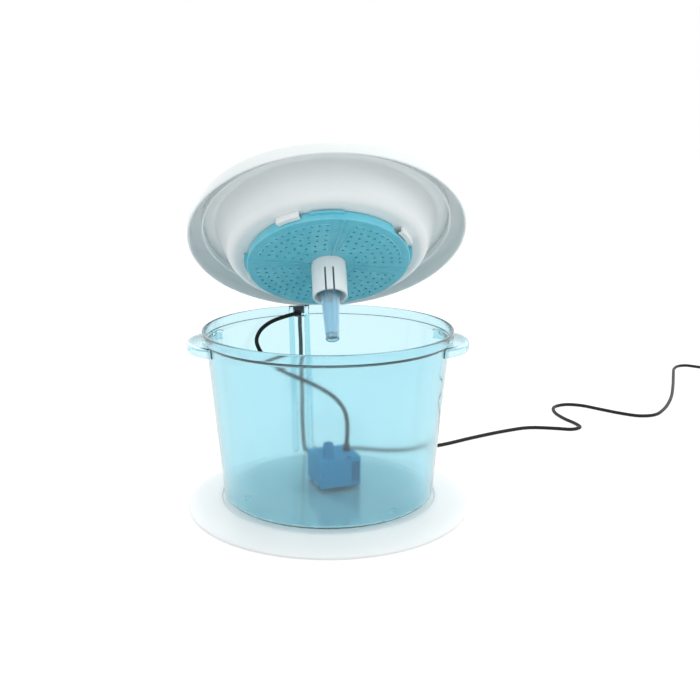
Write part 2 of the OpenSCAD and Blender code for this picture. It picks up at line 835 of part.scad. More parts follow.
module impeller() {
    color(white) at_pump() difference() {
        union() {
            along_rotor(impeller_r, impeller_back - 1.2, impeller_back);
            along_rotor(hub_r, impeller_front, impeller_back);
            translate([rotor_x, 0, rotor_z]) for (i = [0:blade_count - 1]) {
                rotate([0, 360 * i / blade_count, 0])
                    block([0, impeller_front, -blade_w / 2], [impeller_r - 0.4, impeller_back - 0.6, blade_w / 2]);
            }
        }
        along_rotor(shaft_r + shaft_play, impeller_front - 1, impeller_back + 1);
    }
}

module rotor_magnet() {
    color(black) at_pump() difference() {
        along_rotor(magnet_r, impeller_back, magnet_back);
        along_rotor(shaft_r + shaft_play, impeller_back - 1, magnet_back + 1);
    }
}

module pump_cover() {
    room_low = pump_z + cover_shell;
    room_high = pump_top - cover_shell;
    color(deep_blue) at_pump() {
        difference() {
            translate([0, 0, pump_z]) linear_extrude(pump_h) polygon(concat(
                [[pump_right, cover_back], [pump_left, cover_back], [pump_left, pump_front]],
                arc(pump_right - pump_round, pump_front + pump_round, pump_round, pump_round, -90, 0, 6)));
            block([pump_left + cover_shell, pump_front + cover_shell, room_low],
                [pump_right - cover_shell - pump_round / 2, plate_front, room_high]);
            for (i = [0:slat_count - 1]) {
                translate([slat_x + i * slat_pitch, 0, 0])
                    block([0, pump_front - 1, pump_z + slat_margin],
                        [slat_w, pump_front + cover_shell + 1, pump_top - slat_margin]);
            }
            block([slider_x - slider_travel - gap, pump_front + cover_shell, room_high - 1],
                [slider_x + slider_tab + slider_travel + gap, plate_front, pump_top + 1]);
            difference() {
                along_rotor(inlet_r, plate_front - 1, cover_back + 1);
                along_rotor(bush_hub_r, plate_front - 2, cover_back + 2);
                translate([rotor_x, 0, rotor_z]) for (i = [0:spoke_count - 1]) {
                    rotate([0, 360 * i / spoke_count, 0])
                        block([bush_hub_r - 1, plate_front - 2, -spoke_w / 2], [inlet_r + 1, cover_back + 2, spoke_w / 2]);
                }
            }
            along_rotor(bush_r, plate_front - 2, cover_back + 2);
            difference() {
                along_rotor(cover_seal_r + cover_seal_w, cover_back - cover_seal_d, cover_back + 1);
                along_rotor(cover_seal_r, cover_back - cover_seal_d - 1, cover_back + 2);
            }
        }
    }
}

module cover_seal() {
    color(grey) at_pump() difference() {
        along_rotor(cover_seal_r + cover_seal_w, cover_back - cover_seal_d, cover_back);
        along_rotor(cover_seal_r, cover_back - cover_seal_d - 1, cover_back + 2);
    }
}

module front_bush() {
    color(black) at_pump() difference() {
        along_rotor(bush_r, plate_front - 0.5, plate_front - 0.5 + front_bush_len - 0.2);
        along_rotor(shaft_r + shaft_play, plate_front, plate_front + front_bush_len + 1);
    }
}

module flow_slider() {
    mid = (pump_front + cover_shell + plate_front) / 2;
    color(black) at_pump() {
        block([slider_x, mid - slider_t / 2, pump_z + cover_shell + gap],
            [slider_x + slider_w, mid + slider_t / 2, pump_top - cover_shell - gap]);
        block([slider_x, mid - slider_t / 2, pump_top - cover_shell - gap - eps],
            [slider_x + slider_tab, mid + slider_t / 2, pump_top + slider_proud]);
    }
}

// Power cord and plug

function coil_radius(t) = coil_turn_r + coil_step * abs(t - coil_turns - 0.25);

function coil_height(t) = coil_step * min(max(2 * (t - coil_turns), 0), 1);

function coil_at(t) = let (a = coil_angle + 360 * t)
    coil_centre + [coil_radius(t) * cos(a), coil_radius(t) * sin(a), coil_height(t)];

function coil_way(t) = let (a = coil_angle + 360 * t) [-sin(a), cos(a), 0];

coil_in = coil_at(0) - cord_d * coil_way(0);
coil_out = coil_at(loops) + cord_d * coil_way(loops);
coil_points = concat([coil_in], [for (i = [0:loops * loop_rings]) coil_at(i / loop_rings)], [coil_out]);
coil_gap = min([for (i = [0:len(coil_points) - 1], j = [i + loop_rings / 2:1:len(coil_points) - 1])
    norm(coil_points[i] - coil_points[j])]) - cord_d;
echo(str("least gap of the coil to itself, in mm: ", coil_gap));

module cord_run() {
    color(black) tube(concat([gland_top], run_points, [coil_in]), cord_r, cord_sides,
        [0, 0, 1], coil_way(0), [1, 0, 0]);
}

module cord_coil() {
    color(black) tube(coil_points, cord_r, coil_sides, coil_way(0), coil_way(loops), [0, 0, 1]);
}

module coil_tie() {
    in_r = coil_turn_r + coil_step / 2 - cord_r - tie_gap;
    out_r = coil_turn_r + 3 * coil_step / 2 + cord_r + tie_gap;
    low = -cord_r - seat_gap;
    high = coil_step + cord_r + seat_gap;
    color(grey) translate(coil_centre) rotate([0, 0, coil_angle - 90]) difference() {
        block([in_r - tie_t, -tie_w / 2, low - tie_t], [out_r + tie_t, tie_w / 2, high + tie_t]);
        block([in_r, -tie_w, low], [out_r, tie_w, high]);
    }
}

module cord_tail() {
    color(black) tube(concat([coil_out], tail_points, [plug_at]), cord_r, cord_sides,
        coil_way(loops), [1, 0, 0], [0, 0, 1]);
}

module plug_body() {
    color(black) translate(plug_at) {
        rotate([0, 90, 0]) cylinder(r1 = cord_r + 0.6, r2 = cord_r + 1.6, h = plug_sleeve);
        hull() {
            translate([plug_sleeve - 3, 0, 0]) rotate([0, 90, 0]) cylinder(r = cord_r + 2.6, h = 1, $fn = 32);
            for (side = [-1, 1]) {
                translate([plug_sleeve + 10, side * (plug_w - plug_t) / 2, 0]) rotate([0, 90, 0])
                    cylinder(d = plug_t, h = plug_len - 10, $fn = 32);
            }
        }
    }
}

module plug_pins() {
    color(grey) for (side = [-1, 1]) {
        translate(plug_at + [plug_sleeve + plug_len, side * pin_pitch / 2, 0]) rotate([0, 90, 0]) {
            cylinder(r = pin_r, h = pin_len - 1);
            translate([0, 0, pin_len - 1]) cylinder(r1 = pin_r, r2 = pin_r - 0.8, h = 1);
        }
    }
}

base_plate();
base_pads();
tank();
lid_dish();
bubble_cap();
filter_sponge();
carbon_pad();
filter_tray();
feed_pipe();
pipe_seal();
pump_body();
pump_cover();
cover_seal();
flow_slider();
impeller();
rotor_magnet();
rotor_shaft();
rear_bush();
front_bush();
stator_core();
stator_coil();
potting_cap();
suction_cups();
cord_gland();
cord_run();
cord_coil();
coil_tie();
cord_tail();
plug_body();
plug_pins();
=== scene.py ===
"""Pet water fountain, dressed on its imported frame.

Every length is in millimetres unless its name says otherwise, and is turned to
metres where a mesh is made. The frame's origin is under the middle of the base
plate, with +Z up and the front towards -Y. The dish and what it carries are
drawn closed, in the dish's own frame, and then turned about the rear lip.
"""

import logging
import math
from dataclasses import dataclass, field
from enum import Enum
from typing import Iterable, Sequence

import bmesh
import bpy
from mathutils import Matrix, Vector


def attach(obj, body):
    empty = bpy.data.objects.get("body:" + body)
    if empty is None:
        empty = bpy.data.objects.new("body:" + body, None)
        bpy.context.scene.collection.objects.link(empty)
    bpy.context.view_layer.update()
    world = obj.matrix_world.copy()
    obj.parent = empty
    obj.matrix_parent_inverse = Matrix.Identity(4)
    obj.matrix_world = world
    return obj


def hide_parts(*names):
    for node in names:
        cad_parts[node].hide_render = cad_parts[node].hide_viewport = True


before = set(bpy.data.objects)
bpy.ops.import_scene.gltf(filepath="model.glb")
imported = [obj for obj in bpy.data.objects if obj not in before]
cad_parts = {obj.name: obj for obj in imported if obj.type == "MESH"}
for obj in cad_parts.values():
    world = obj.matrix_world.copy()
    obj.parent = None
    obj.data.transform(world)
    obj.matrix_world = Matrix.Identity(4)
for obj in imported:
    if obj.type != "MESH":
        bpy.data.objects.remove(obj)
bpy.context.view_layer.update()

LOG = logging.getLogger("fountain")
MM = 0.001
FULL_TURN = 2 * math.pi
# Roughness of a clear coat, and the share of light that a glowing plastic lets in.
COAT_ROUGHNESS = 0.12
GLOW_WEIGHT = 0.35
# Angle in degrees past which an edge stays sharp, unless a piece gives its own.
CREASE = 32.0
Outline = list[tuple[float, float]]
Point = tuple[float, float, float]


# ---------------------------------------------------------------- materials


def linear(hex_colour: str, alpha: float = 1.0) -> tuple[float, float, float, float]:
    """Turn an sRGB hex value to linear colour.

    Args:
        hex_colour: Six hex digits, such as "E8F4F6".
        alpha: Opacity to append.

    Returns:
        Red, green, blue and alpha.
    """
    parts = [int(hex_colour[i : i + 2], 16) / 255 for i in (0, 2, 4)]
    red, green, blue = (
        c / 12.92 if c <= 0.04045 else ((c + 0.055) / 1.055) ** 2.4 for c in parts
    )
    return red, green, blue, alpha


def add_node(
    tree: bpy.types.NodeTree,
    kind: str,
    settings: dict | None = None,
    values: dict | None = None,
    links: dict | None = None,
) -> bpy.types.Node:
    """Add a node with its settings, socket values and incoming links.

    Args:
        tree: The node tree.
        kind: The node's type name.
        settings: Attributes to set on the node.
        values: Socket name or index to a value.
        links: Socket name or index to the output socket that feeds it.

    Returns:
        The new node.
    """
    node = tree.nodes.new(kind)
    for name, value in (settings or {}).items():
        setattr(node, name, value)
    for name, value in (values or {}).items():
        node.inputs[name].default_value = value
    for name, source in (links or {}).items():
        tree.links.new(source, node.inputs[name])
    return node


class Grain(Enum):
    """How a moulded or woven surface is broken up."""

    POLISHED = "polished"
    SPARKED = "sparked"
    DRAWN = "drawn"
    FOAM = "foam"
    FLEECE = "fleece"


@dataclass(frozen=True)
class Finish:
    """One real material and how its surface was made."""

    name: str
    colour: str
    shade: str
    roughness: float
    grain: Grain = Grain.POLISHED
    grain_mm: float = 1.0
    relief_mm: float = 0.02
    patch_mm: float = 40.0
    ior: float | None = 1.49
    metallic: float = 0.0
    coat: float = 0.0
    sheen: float = 0.0
    glow_mm: float = 0.0
    clear: float = 0.0
    absorbs: str = ""
    density: float = 0.0

    def material(self) -> bpy.types.Material:
        """Build the material, or return it if it is there already.

        Returns:
            The material, named for this finish.
        """
        made = bpy.data.materials.get(self.name)
        if made is not None:
            return made
        material = bpy.data.materials.new(self.name)
        material.use_nodes = True
        tree = material.node_tree
        shader = tree.nodes["Principled BSDF"]
        place = add_node(tree, "ShaderNodeTexCoord").outputs["Object"]
        self._colour(tree, shader, place)
        self._surface(tree, shader, place)
        self._body(tree, shader)
        return material

    def _colour(
        self, tree: bpy.types.NodeTree, shader: bpy.types.Node, place: bpy.types.NodeSocket
    ) -> None:
        """Mix the colour with its shade in soft patches.

        Args:
            tree: The material's node tree.
            shader: The surface shader.
            place: Output that gives a point's place on the object.
        """
        patches = add_node(
            tree,
            "ShaderNodeTexNoise",
            values={"Scale": 1 / (self.patch_mm * MM), "Detail": 3.0, "Roughness": 0.55},
            links={"Vector": place},
        )
        blend = add_node(
            tree,
            "ShaderNodeMix",
            settings={"data_type": "RGBA"},
            values={"A": linear(self.colour), "B": linear(self.shade)},
            links={"Factor": patches.outputs["Fac"]},
        )
        tree.links.new(blend.outputs["Result"], shader.inputs["Base Color"])
        wear = add_node(
            tree,
            "ShaderNodeMapRange",
            values={"To Min": self.roughness * 0.85, "To Max": min(1.0, self.roughness * 1.2)},
            links={"Value": patches.outputs["Fac"]},
        )
        tree.links.new(wear.outputs["Result"], shader.inputs["Roughness"])

    def _surface(
        self, tree: bpy.types.NodeTree, shader: bpy.types.Node, place: bpy.types.NodeSocket
    ) -> None:
        """Give the surface the relief of its grain.

        Args:
            tree: The material's node tree.
            shader: The surface shader.
            place: Output that gives a point's place on the object.
        """
        scale = 1 / (self.grain_mm * MM)
        if self.grain in (Grain.FOAM, Grain.FLEECE):
            relief = add_node(
                tree,
                "ShaderNodeTexVoronoi" if self.grain is Grain.FOAM else "ShaderNodeTexNoise",
                values={"Scale": scale},
                links={"Vector": place},
            )
            height = relief.outputs["Distance" if self.grain is Grain.FOAM else "Fac"]
        else:
            relief = add_node(
                tree,
                "ShaderNodeTexNoise",
                values={"Scale": scale, "Detail": 2.0 if self.grain is Grain.POLISHED else 6.0},
                links={"Vector": place},
            )
            height = relief.outputs["Fac"]
        bump = add_node(
            tree,
            "ShaderNodeBump",
            values={"Strength": 1.0, "Distance": self.relief_mm * MM},
            links={"Height": height},
        )
        tree.links.new(bump.outputs["Normal"], shader.inputs["Normal"])

    def _body(self, tree: bpy.types.NodeTree, shader: bpy.types.Node) -> None:
        """Set what is the same all over: gloss, depth and clearness.

        Args:
            tree: The material's node tree.
            shader: The surface shader.
        """
        shader.inputs["Metallic"].default_value = self.metallic
        if self.ior is not None:
            shader.inputs["IOR"].default_value = self.ior
        shader.inputs["Coat Weight"].default_value = self.coat
        shader.inputs["Coat Roughness"].default_value = COAT_ROUGHNESS
        shader.inputs["Sheen Weight"].default_value = self.sheen
        if self.glow_mm:
            shader.inputs["Subsurface Weight"].default_value = GLOW_WEIGHT
            shader.inputs["Subsurface Radius"].default_value = (1.0, 1.0, 1.0)
            shader.inputs["Subsurface Scale"].default_value = self.glow_mm * MM
        shader.inputs["Transmission Weight"].default_value = self.clear
        if self.density:
            depth = add_node(
                tree,
                "ShaderNodeVolumeAbsorption",
                values={"Color": linear(self.absorbs), "Density": self.density},
            )
            output = tree.nodes["Material Output"]
            tree.links.new(depth.outputs["Volume"], output.inputs["Volume"])


# White ABS, injection moulded in a lightly polished tool: a soft gloss that
# lets a little light in, with a faint cool cast in soft patches.
WHITE_ABS = Finish(
    "white_abs_moulded", "EEF2F2", "E6ECED", 0.32, patch_mm=60, grain_mm=6, relief_mm=0.015,
    glow_mm=1.5,
)
# Turquoise-tinted SAN, moulded clear: bright faces, and edges that go deeper
# in colour where light runs along inside the wall.
TINTED_SAN = Finish(
    "tinted_san_clear", "DCF5F9", "D2F0F7", 0.08, patch_mm=80, grain_mm=22, relief_mm=0.01,
    clear=0.975, absorbs="7FD9E8", density=38.0,
)
# The same resin with more dye, for the filter tray.
TRAY_SAN = Finish(
    "tray_tinted_san_clear", "96EEFC", "6ADAF0", 0.15, patch_mm=14, grain_mm=5, relief_mm=0.3,
    clear=0.35, absorbs="53ECF8", density=120.0,
)
# The feed pipe, thin-walled, a little bluer than the tank.
PIPE_SAN = Finish(
    "pipe_tinted_san_clear", "D2EEF9", "C4E8F6", 0.12, patch_mm=20, grain_mm=6, relief_mm=0.02,
    clear=0.8, absorbs="6CC8E8", density=90.0,
)
# Filled ABS of the pump's case: spark-eroded tool, so a fine even grain.
PUMP_ABS = Finish("blue_pump_abs", "0098C6", "008AB8", 0.6, Grain.SPARKED, 0.8, 0.02, 18, ior=1.4)
# Near-black ABS of the slider and the potting cap.
DARK_ABS = Finish("dark_abs", "14181B", "1C2226", 0.45, Grain.SPARKED, 0.8, 0.02, 15)
# Soft PVC of the suction cups: half clear, a little greasy in its shine.
CUP_PVC = Finish(
    "soft_pvc_cup", "9FD3E2", "86C4D8", 0.25, patch_mm=10, grain_mm=3, relief_mm=0.02, clear=0.7
)
# PVC jacket of the power cord: extruded, so satin with a faint drawn line.
CORD_PVC = Finish("black_pvc_cord", "08090A", "101214", 0.5, Grain.DRAWN, 1.2, 0.03, 20, ior=1.35)
# Grey thermoplastic rubber: pads and seals, with a dry matt face.
PAD_TPR = Finish("grey_tpr", "B4BABB", "A3AAAC", 0.75, Grain.SPARKED, 1.0, 0.04, 8)
# Reticulated polyurethane foam: open cells about two millimetres across.
FILTER_FOAM = Finish(
    "blue_filter_foam", "B4DCE8", "9CCFE0", 0.95, Grain.FOAM, 2.0, 0.8, 12, sheen=0.2
)
# Polyester fleece with carbon grains in it: soft, mottled, pale blue-grey.
CARBON_FLEECE = Finish(
    "carbon_fleece", "EEF4F6", "B9CDD6", 0.95, Grain.FLEECE, 1.6, 0.5, 4, sheen=0.3
)
# Plastic-bonded ferrite of the rotor: dense, dark, slightly waxy.
FERRITE = Finish("bonded_ferrite", "1D1D20", "2A2A2E", 0.5, Grain.SPARKED, 0.6, 0.02, 6)
# Alumina of the shaft: ground smooth, off-white, glassy.
CERAMIC = Finish("ground_alumina", "EDEBE4", "E2DFD6", 0.12, relief_mm=0.002, ior=1.76)
# Punched silicon steel, stacked: fine lines across a dull grey.
CORE_STEEL = Finish(
    "punched_core_steel", "7E8286", "6B6F74", 0.4, Grain.DRAWN, 0.5, 0.02, 6, ior=None, metallic=1.0
)
# Enamelled copper wire under clear tape: warm and glossy.
WINDING = Finish("enamelled_copper", "A5531F", "7E3A14", 0.3, Grain.DRAWN, 0.4, 0.05, 3, coat=0.4)
# Nickel-plated brass of the plug's pins.
PIN_METAL = Finish(
    "nickel_plate", "C9C7C0", "BEBBB2", 0.22, relief_mm=0.004, ior=None, metallic=1.0
)


# ------------------------------------------------------------------ meshes


def arc(
    centre: tuple[float, float],
    radii: tuple[float, float],
    start: float,
    end: float,
    steps: int = 10,
) -> Outline:
    """Points along an arc of an ellipse.

    Args:
        centre: Radius and height of the arc's centre.
        radii: Half axes along radius and height.
        start: First angle in degrees, from the outward direction.
        end: Last angle in degrees.
        steps: Number of straight pieces.

    Returns:
        The points, as radius and height.
    """
    angles = [math.radians(start + (end - start) * i / steps) for i in range(steps + 1)]
    return [
        (centre[0] + radii[0] * math.cos(a), centre[1] + radii[1] * math.sin(a)) for a in angles
    ]


def along(start: tuple[float, float], end: tuple[float, float], steps: int) -> Outline:
    """Points on a straight line between two points, both left out.

    Args:
        start: Radius and height where the line starts.
        end: Radius and height where it ends.
        steps: Number of pieces that the line is cut into.

    Returns:
        The points between, as radius and height.
    """
    return [
        (start[0] + (end[0] - start[0]) * i / steps, start[1] + (end[1] - start[1]) * i / steps)
        for i in range(1, steps)
    ]


def revolve(bm: bmesh.types.BMesh, outline: Outline, steps: int = 96) -> None:
    """Turn a closed outline about the Z axis into a closed shell.

    Args:
        bm: The mesh to add to.
        outline: Radius and height in millimetres, in order around the section.
            Where it starts and ends on the axis, the axis closes it.
        steps: Number of pieces around.
    """
    part = bmesh.new()
    verts = [part.verts.new((r * MM, 0, z * MM)) for r, z in outline]
    on_axis = outline[0][0] < 1e-6 and outline[-1][0] < 1e-6
    ends = verts[1:] if on_axis else verts[1:] + verts[:1]
    edges = [part.edges.new(pair) for pair in zip(verts, ends)]
    bmesh.ops.spin(
        part, geom=verts + edges, cent=(0, 0, 0), axis=(0, 0, 1), dvec=(0, 0, 0),
        angle=FULL_TURN, steps=steps, use_merge=True, use_duplicate=False,
    )
    bmesh.ops.remove_doubles(part, verts=part.verts[:], dist=1e-7)
    bmesh.ops.recalc_face_normals(part, faces=part.faces[:])
    pour(part, bm)


def sector(
    bm: bmesh.types.BMesh, section: Outline, start: float, span: float, steps: int
) -> None:
    """Turn a closed section through part of a circle, with both ends closed.

    Args:
        bm: The mesh to add to.
        section: Radius and height of the section's corners.
        start: First angle in degrees.
        span: Angle covered in degrees.
        steps: Number of pieces.
    """
    part = bmesh.new()
    turn = Matrix.Rotation(math.radians(start), 4, "Z")
    face = part.faces.new([part.verts.new(turn @ Vector((r * MM, 0, z * MM))) for r, z in section])
    bmesh.ops.spin(
        part, geom=[face, *face.edges, *face.verts], cent=(0, 0, 0), axis=(0, 0, 1),
        dvec=(0, 0, 0), angle=math.radians(span), steps=steps, use_merge=False,
        use_duplicate=False,
    )
    bmesh.ops.recalc_face_normals(part, faces=part.faces[:])
    pour(part, bm)


def pour(part: bmesh.types.BMesh, bm: bmesh.types.BMesh, turn: Matrix | None = None) -> None:
    """Move all of one mesh into another, and free it.

    Args:
        part: The mesh that is used up.
        bm: The mesh to add to.
        turn: Where the part goes, in metres.
    """
    if turn is not None:
        bmesh.ops.transform(part, matrix=turn, verts=part.verts[:])
    scratch = bpy.data.meshes.new("scratch")
    part.to_mesh(scratch)
    part.free()
    bm.from_mesh(scratch)
    bpy.data.meshes.remove(scratch)


def block(
    bm: bmesh.types.BMesh,
    low: Sequence[float],
    high: Sequence[float],
    soften: float = 0.0,
    matrix: Matrix | None = None,
) -> None:
    """Add a box between two corners, with its edges softened.

    Args:
        bm: The mesh to add to.
        low: Lowest corner in millimetres.
        high: Highest corner in millimetres.
        soften: Radius of the edges.
        matrix: Where the box goes, in metres.
    """
    size = [(h - l) * MM for l, h in zip(low, high)]
    middle = [(h + l) / 2 * MM for l, h in zip(low, high)]
    place = Matrix.Translation(middle) @ Matrix.Diagonal((*size, 1.0))
    made = bmesh.ops.create_cube(bm, size=1.0, matrix=(matrix or Matrix()) @ place)
    if soften:
        bm.normal_update()
        edges = {e for v in made["verts"] for e in v.link_edges}
        bmesh.ops.bevel(
            bm, geom=list(edges), offset=soften * MM, offset_type="OFFSET", segments=3,
            profile=0.5, affect="EDGES", material=-1, clamp_overlap=True,
        )


def rod(
    bm: bmesh.types.BMesh,
    radius: float,
    start: Sequence[float],
    end: Sequence[float],
    sides: int = 32,
    far_radius: float | None = None,
) -> None:
    """Add a closed rod or cone between two points in millimetres.

    Args:
        bm: The mesh to add to.
        radius: Radius at the start.
        start: Middle of the first end.
        end: Middle of the far end.
        sides: Number of sides.
        far_radius: Radius at the far end, where it differs.
    """
    a, b = Vector(start) * MM, Vector(end) * MM
    way = b - a
    turn = way.to_track_quat("Z", "Y").to_matrix().to_4x4()
    bmesh.ops.create_cone(
        bm, cap_ends=True, segments=sides, radius1=radius * MM,
        radius2=(radius if far_radius is None else far_radius) * MM,
        depth=way.length, matrix=Matrix.Translation((a + b) / 2) @ turn,
    )


def crease(bm: bmesh.types.BMesh, limit: float = CREASE) -> None:
    """Shade a mesh smooth, but keep its sharp edges.

    Args:
        bm: The mesh.
        limit: Angle past which an edge stays sharp.
    """
    bmesh.ops.recalc_face_normals(bm, faces=bm.faces[:])
    for face in bm.faces:
        face.smooth = True
    for edge in bm.edges:
        edge.smooth = len(edge.link_faces) != 2 or edge.calc_face_angle(0.0) < math.radians(limit)


def to_object(
    bm: bmesh.types.BMesh, name: str, turn: Matrix | None = None, limit: float = CREASE
) -> bpy.types.Object:
    """Make an object of a bmesh, with its place in its mesh.

    Args:
        bm: The mesh, which is freed.
        name: The object's name.
        turn: Where the mesh goes, in metres.
        limit: Angle past which an edge stays sharp.

    Returns:
        The object, linked into the scene.
    """
    if turn is not None:
        bmesh.ops.transform(bm, matrix=turn, verts=bm.verts[:])
    crease(bm, limit)
    mesh = bpy.data.meshes.new(name)
    bm.to_mesh(mesh)
    bm.free()
    made = bpy.data.objects.new(name, mesh)
    bpy.context.scene.collection.objects.link(made)
    return made


def combine(
    target: bpy.types.Object, tool: bpy.types.Object, operation: str, limit: float = CREASE
) -> None:
    """Join a tool's solid to a target, or cut it away, for good.

    Args:
        target: The object that changes.
        tool: The object that is used up.
        operation: "UNION", "DIFFERENCE" or "INTERSECT".
        limit: Angle past which an edge stays sharp.
    """
    modifier = target.modifiers.new("combine", "BOOLEAN")
    modifier.operation = operation
    modifier.solver = "MANIFOLD"
    modifier.object = tool
    graph = bpy.context.evaluated_depsgraph_get()
    mesh = bpy.data.meshes.new_from_object(target.evaluated_get(graph))
    target.modifiers.remove(modifier)
    old = target.data
    target.data = mesh
    bpy.data.meshes.remove(old)
    used = tool.data
    bpy.data.objects.remove(tool)
    bpy.data.meshes.remove(used)
    bm = bmesh.new()
    bm.from_mesh(target.data)
    bmesh.ops.remove_doubles(bm, verts=bm.verts[:], dist=2e-6)
    bmesh.ops.dissolve_degenerate(bm, edges=bm.edges[:], dist=1e-6)
    crease(bm, limit)
    bm.to_mesh(target.data)
    bm.free()


def refined(node: str, name: str, soften: float = 0.3) -> bpy.types.Object:
    """Copy a rigid node's shape, merge it and soften its edges.

    Args:
        node: The node that is copied.
        name: The new piece's name.
        soften: Width of the softened edges.

    Returns:
        The new piece.
    """
    bm = bmesh.new()
    bm.from_mesh(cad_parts[node].data)
    bmesh.ops.remove_doubles(bm, verts=bm.verts[:], dist=1e-6)
    bmesh.ops.dissolve_limit(
        bm, angle_limit=math.radians(1.5), verts=bm.verts[:], edges=bm.edges[:]
    )
    made = to_object(bm, name, limit=40.0)
    edges = made.modifiers.new("soft_edges", "BEVEL")
    edges.width = soften * MM
    edges.segments = 2
    edges.limit_method = "ANGLE"
    edges.angle_limit = math.radians(40)
    edges.harden_normals = False
    return made


def paint(piece: bpy.types.Object, finish: Finish) -> None:
    """Give all faces of a mesh one finish.

    Args:
        piece: The mesh's object.
        finish: Its finish.
    """
    piece.data.materials.clear()
    piece.data.materials.append(finish.material())
    for polygon in piece.data.polygons:
        polygon.material_index = 0


def dress(
    piece: bpy.types.Object, finish: Finish, body: str, replaces: Iterable[str] = ()
) -> None:
    """Give a piece its finish, its body and the nodes that it stands for.

    Args:
        piece: The piece.
        finish: Its finish.
        body: The body that it rides on.
        replaces: Nodes that it stands for.
    """
    paint(piece, finish)
    # A clear piece lets the light in: its own colour does the dimming.
    piece.visible_shadow = not finish.clear
    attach(piece, body)
    names = list(replaces)
    if names:
        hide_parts(*names)
    LOG.info("%s rides on %s", piece.name, body)


def dress_node(node: str, finish: Finish) -> None:
    """Give a rigid node that stays in view its finish.

    Args:
        node: The node's name.
        finish: Its finish.
    """
    paint(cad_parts[node], finish)
    LOG.info("%s keeps its shape", node)


# ------------------------------------------------------- stage and camera


@dataclass
class Stage:
    """The camera as it stood, plain studio light and a white floor."""

    camera_y: float = -974.75
    camera_height: float = 394.15
    pitch: float = 0.228
    roll: float = -0.0035
    lens: float = 49.11
    shift: float = 0.0316
    floor_radius_m: float = 12.0
    floor_paint: str = "E0E0E0"
    floor_faint: str = "808080"
    floor_glow: float = 0.88
    key_w: float = 3.0
    fill_w: float = 4.5
    top_w: float = 7.0
    back_w: float = 4.5
    sky: float = 0.88

    def build(self) -> None:
        """Place the camera, the lights, the floor and the backdrop."""
        self._camera()
        self._lights()
        self._floor()
        self._world()
        bpy.context.scene.view_settings.view_transform = "Standard"

    def _camera(self) -> None:
        """Look down on the fountain from the front."""
        data = bpy.data.cameras.new("camera")
        data.sensor_width = 36.0
        data.lens = self.lens
        data.shift_x = self.shift
        data.clip_start = 0.05
        data.clip_end = 60.0
        camera = bpy.data.objects.new("camera", data)
        nod = Matrix.Rotation(math.pi / 2 - self.pitch, 4, "X")
        turn = nod @ Matrix.Rotation(self.roll, 4, "Z")
        place = Matrix.Translation((0, self.camera_y * MM, self.camera_height * MM))
        camera.matrix_world = place @ turn
        bpy.context.scene.collection.objects.link(camera)
        bpy.context.scene.camera = camera

    def _lights(self) -> None:
        """Hang soft boxes at both sides, above and behind; places and sizes are in metres."""
        target = Vector((0, 0, 0.15))
        boxes = (
            ("key_box", self.key_w, (-0.9, -1.0, 1.5), 1.2),
            ("fill_box", self.fill_w, (1.3, -0.6, 1.1), 1.1),
            ("top_box", self.top_w, (0.1, 0.5, 1.8), 1.4),
            ("back_left_box", self.back_w, (-1.1, 1.2, 0.8), 1.0),
            ("back_right_box", self.back_w, (1.3, 1.1, 0.8), 1.0),
        )
        for name, power, place, size in boxes:
            data = bpy.data.lights.new(name, "AREA")
            data.energy = power
            data.size = size
            lamp = bpy.data.objects.new(name, data)
            aim = (target - Vector(place)).to_track_quat("-Z", "Y")
            lamp.matrix_world = Matrix.Translation(place) @ aim.to_matrix().to_4x4()
            bpy.context.scene.collection.objects.link(lamp)

    def _seen(self, tree: bpy.types.NodeTree) -> bpy.types.NodeSocket:
        """Tell what is seen: straight, mirrored or through a clear wall.

        Args:
            tree: The node tree to add to.

        Returns:
            An output that is one for such rays and zero for the rest.
        """
        path = add_node(tree, "ShaderNodeLightPath")
        near = add_node(
            tree, "ShaderNodeMath", settings={"operation": "MAXIMUM"},
            links={0: path.outputs["Is Camera Ray"], 1: path.outputs["Is Glossy Ray"]},
        )
        both = add_node(
            tree, "ShaderNodeMath", settings={"operation": "MAXIMUM"},
            links={0: near.outputs[0], 1: path.outputs["Is Transmission Ray"]},
        )
        return both.outputs[0]

    def _floor(self) -> None:
        """Lay a white floor that keeps a soft shadow."""
        bm = bmesh.new()
        bmesh.ops.create_circle(bm, cap_ends=True, segments=64, radius=self.floor_radius_m)
        floor = to_object(bm, "floor")
        material = bpy.data.materials.new("white_floor")
        material.use_nodes = True
        tree = material.node_tree
        tree.nodes.clear()
        paint = add_node(tree, "ShaderNodeBsdfDiffuse", values={"Color": linear(self.floor_paint)})
        faint = add_node(tree, "ShaderNodeBsdfDiffuse", values={"Color": linear(self.floor_faint)})
        glow = add_node(
            tree, "ShaderNodeEmission", values={"Color": (1, 1, 1, 1), "Strength": self.floor_glow}
        )
        both = add_node(
            tree, "ShaderNodeAddShader", links={0: faint.outputs[0], 1: glow.outputs[0]}
        )
        mix = add_node(
            tree, "ShaderNodeMixShader",
            links={0: self._seen(tree), 1: paint.outputs[0], 2: both.outputs[0]},
        )
        add_node(tree, "ShaderNodeOutputMaterial", links={"Surface": mix.outputs[0]})
        floor.data.materials.append(material)

    def _world(self) -> None:
        """Light from all round, and white where it is seen."""
        world = bpy.data.worlds.new("studio")
        world.use_nodes = True
        tree = world.node_tree
        tree.nodes.clear()
        strength = add_node(
            tree, "ShaderNodeMapRange", values={"To Min": self.sky, "To Max": 1.0},
            links={"Value": self._seen(tree)},
        )
        sky = add_node(
            tree, "ShaderNodeBackground", values={"Color": (1, 1, 1, 1)},
            links={"Strength": strength.outputs[0]},
        )
        add_node(tree, "ShaderNodeOutputWorld", links={"Surface": sky.outputs[0]})
        bpy.context.scene.world = world


# --------------------------------------------------------------- power cord


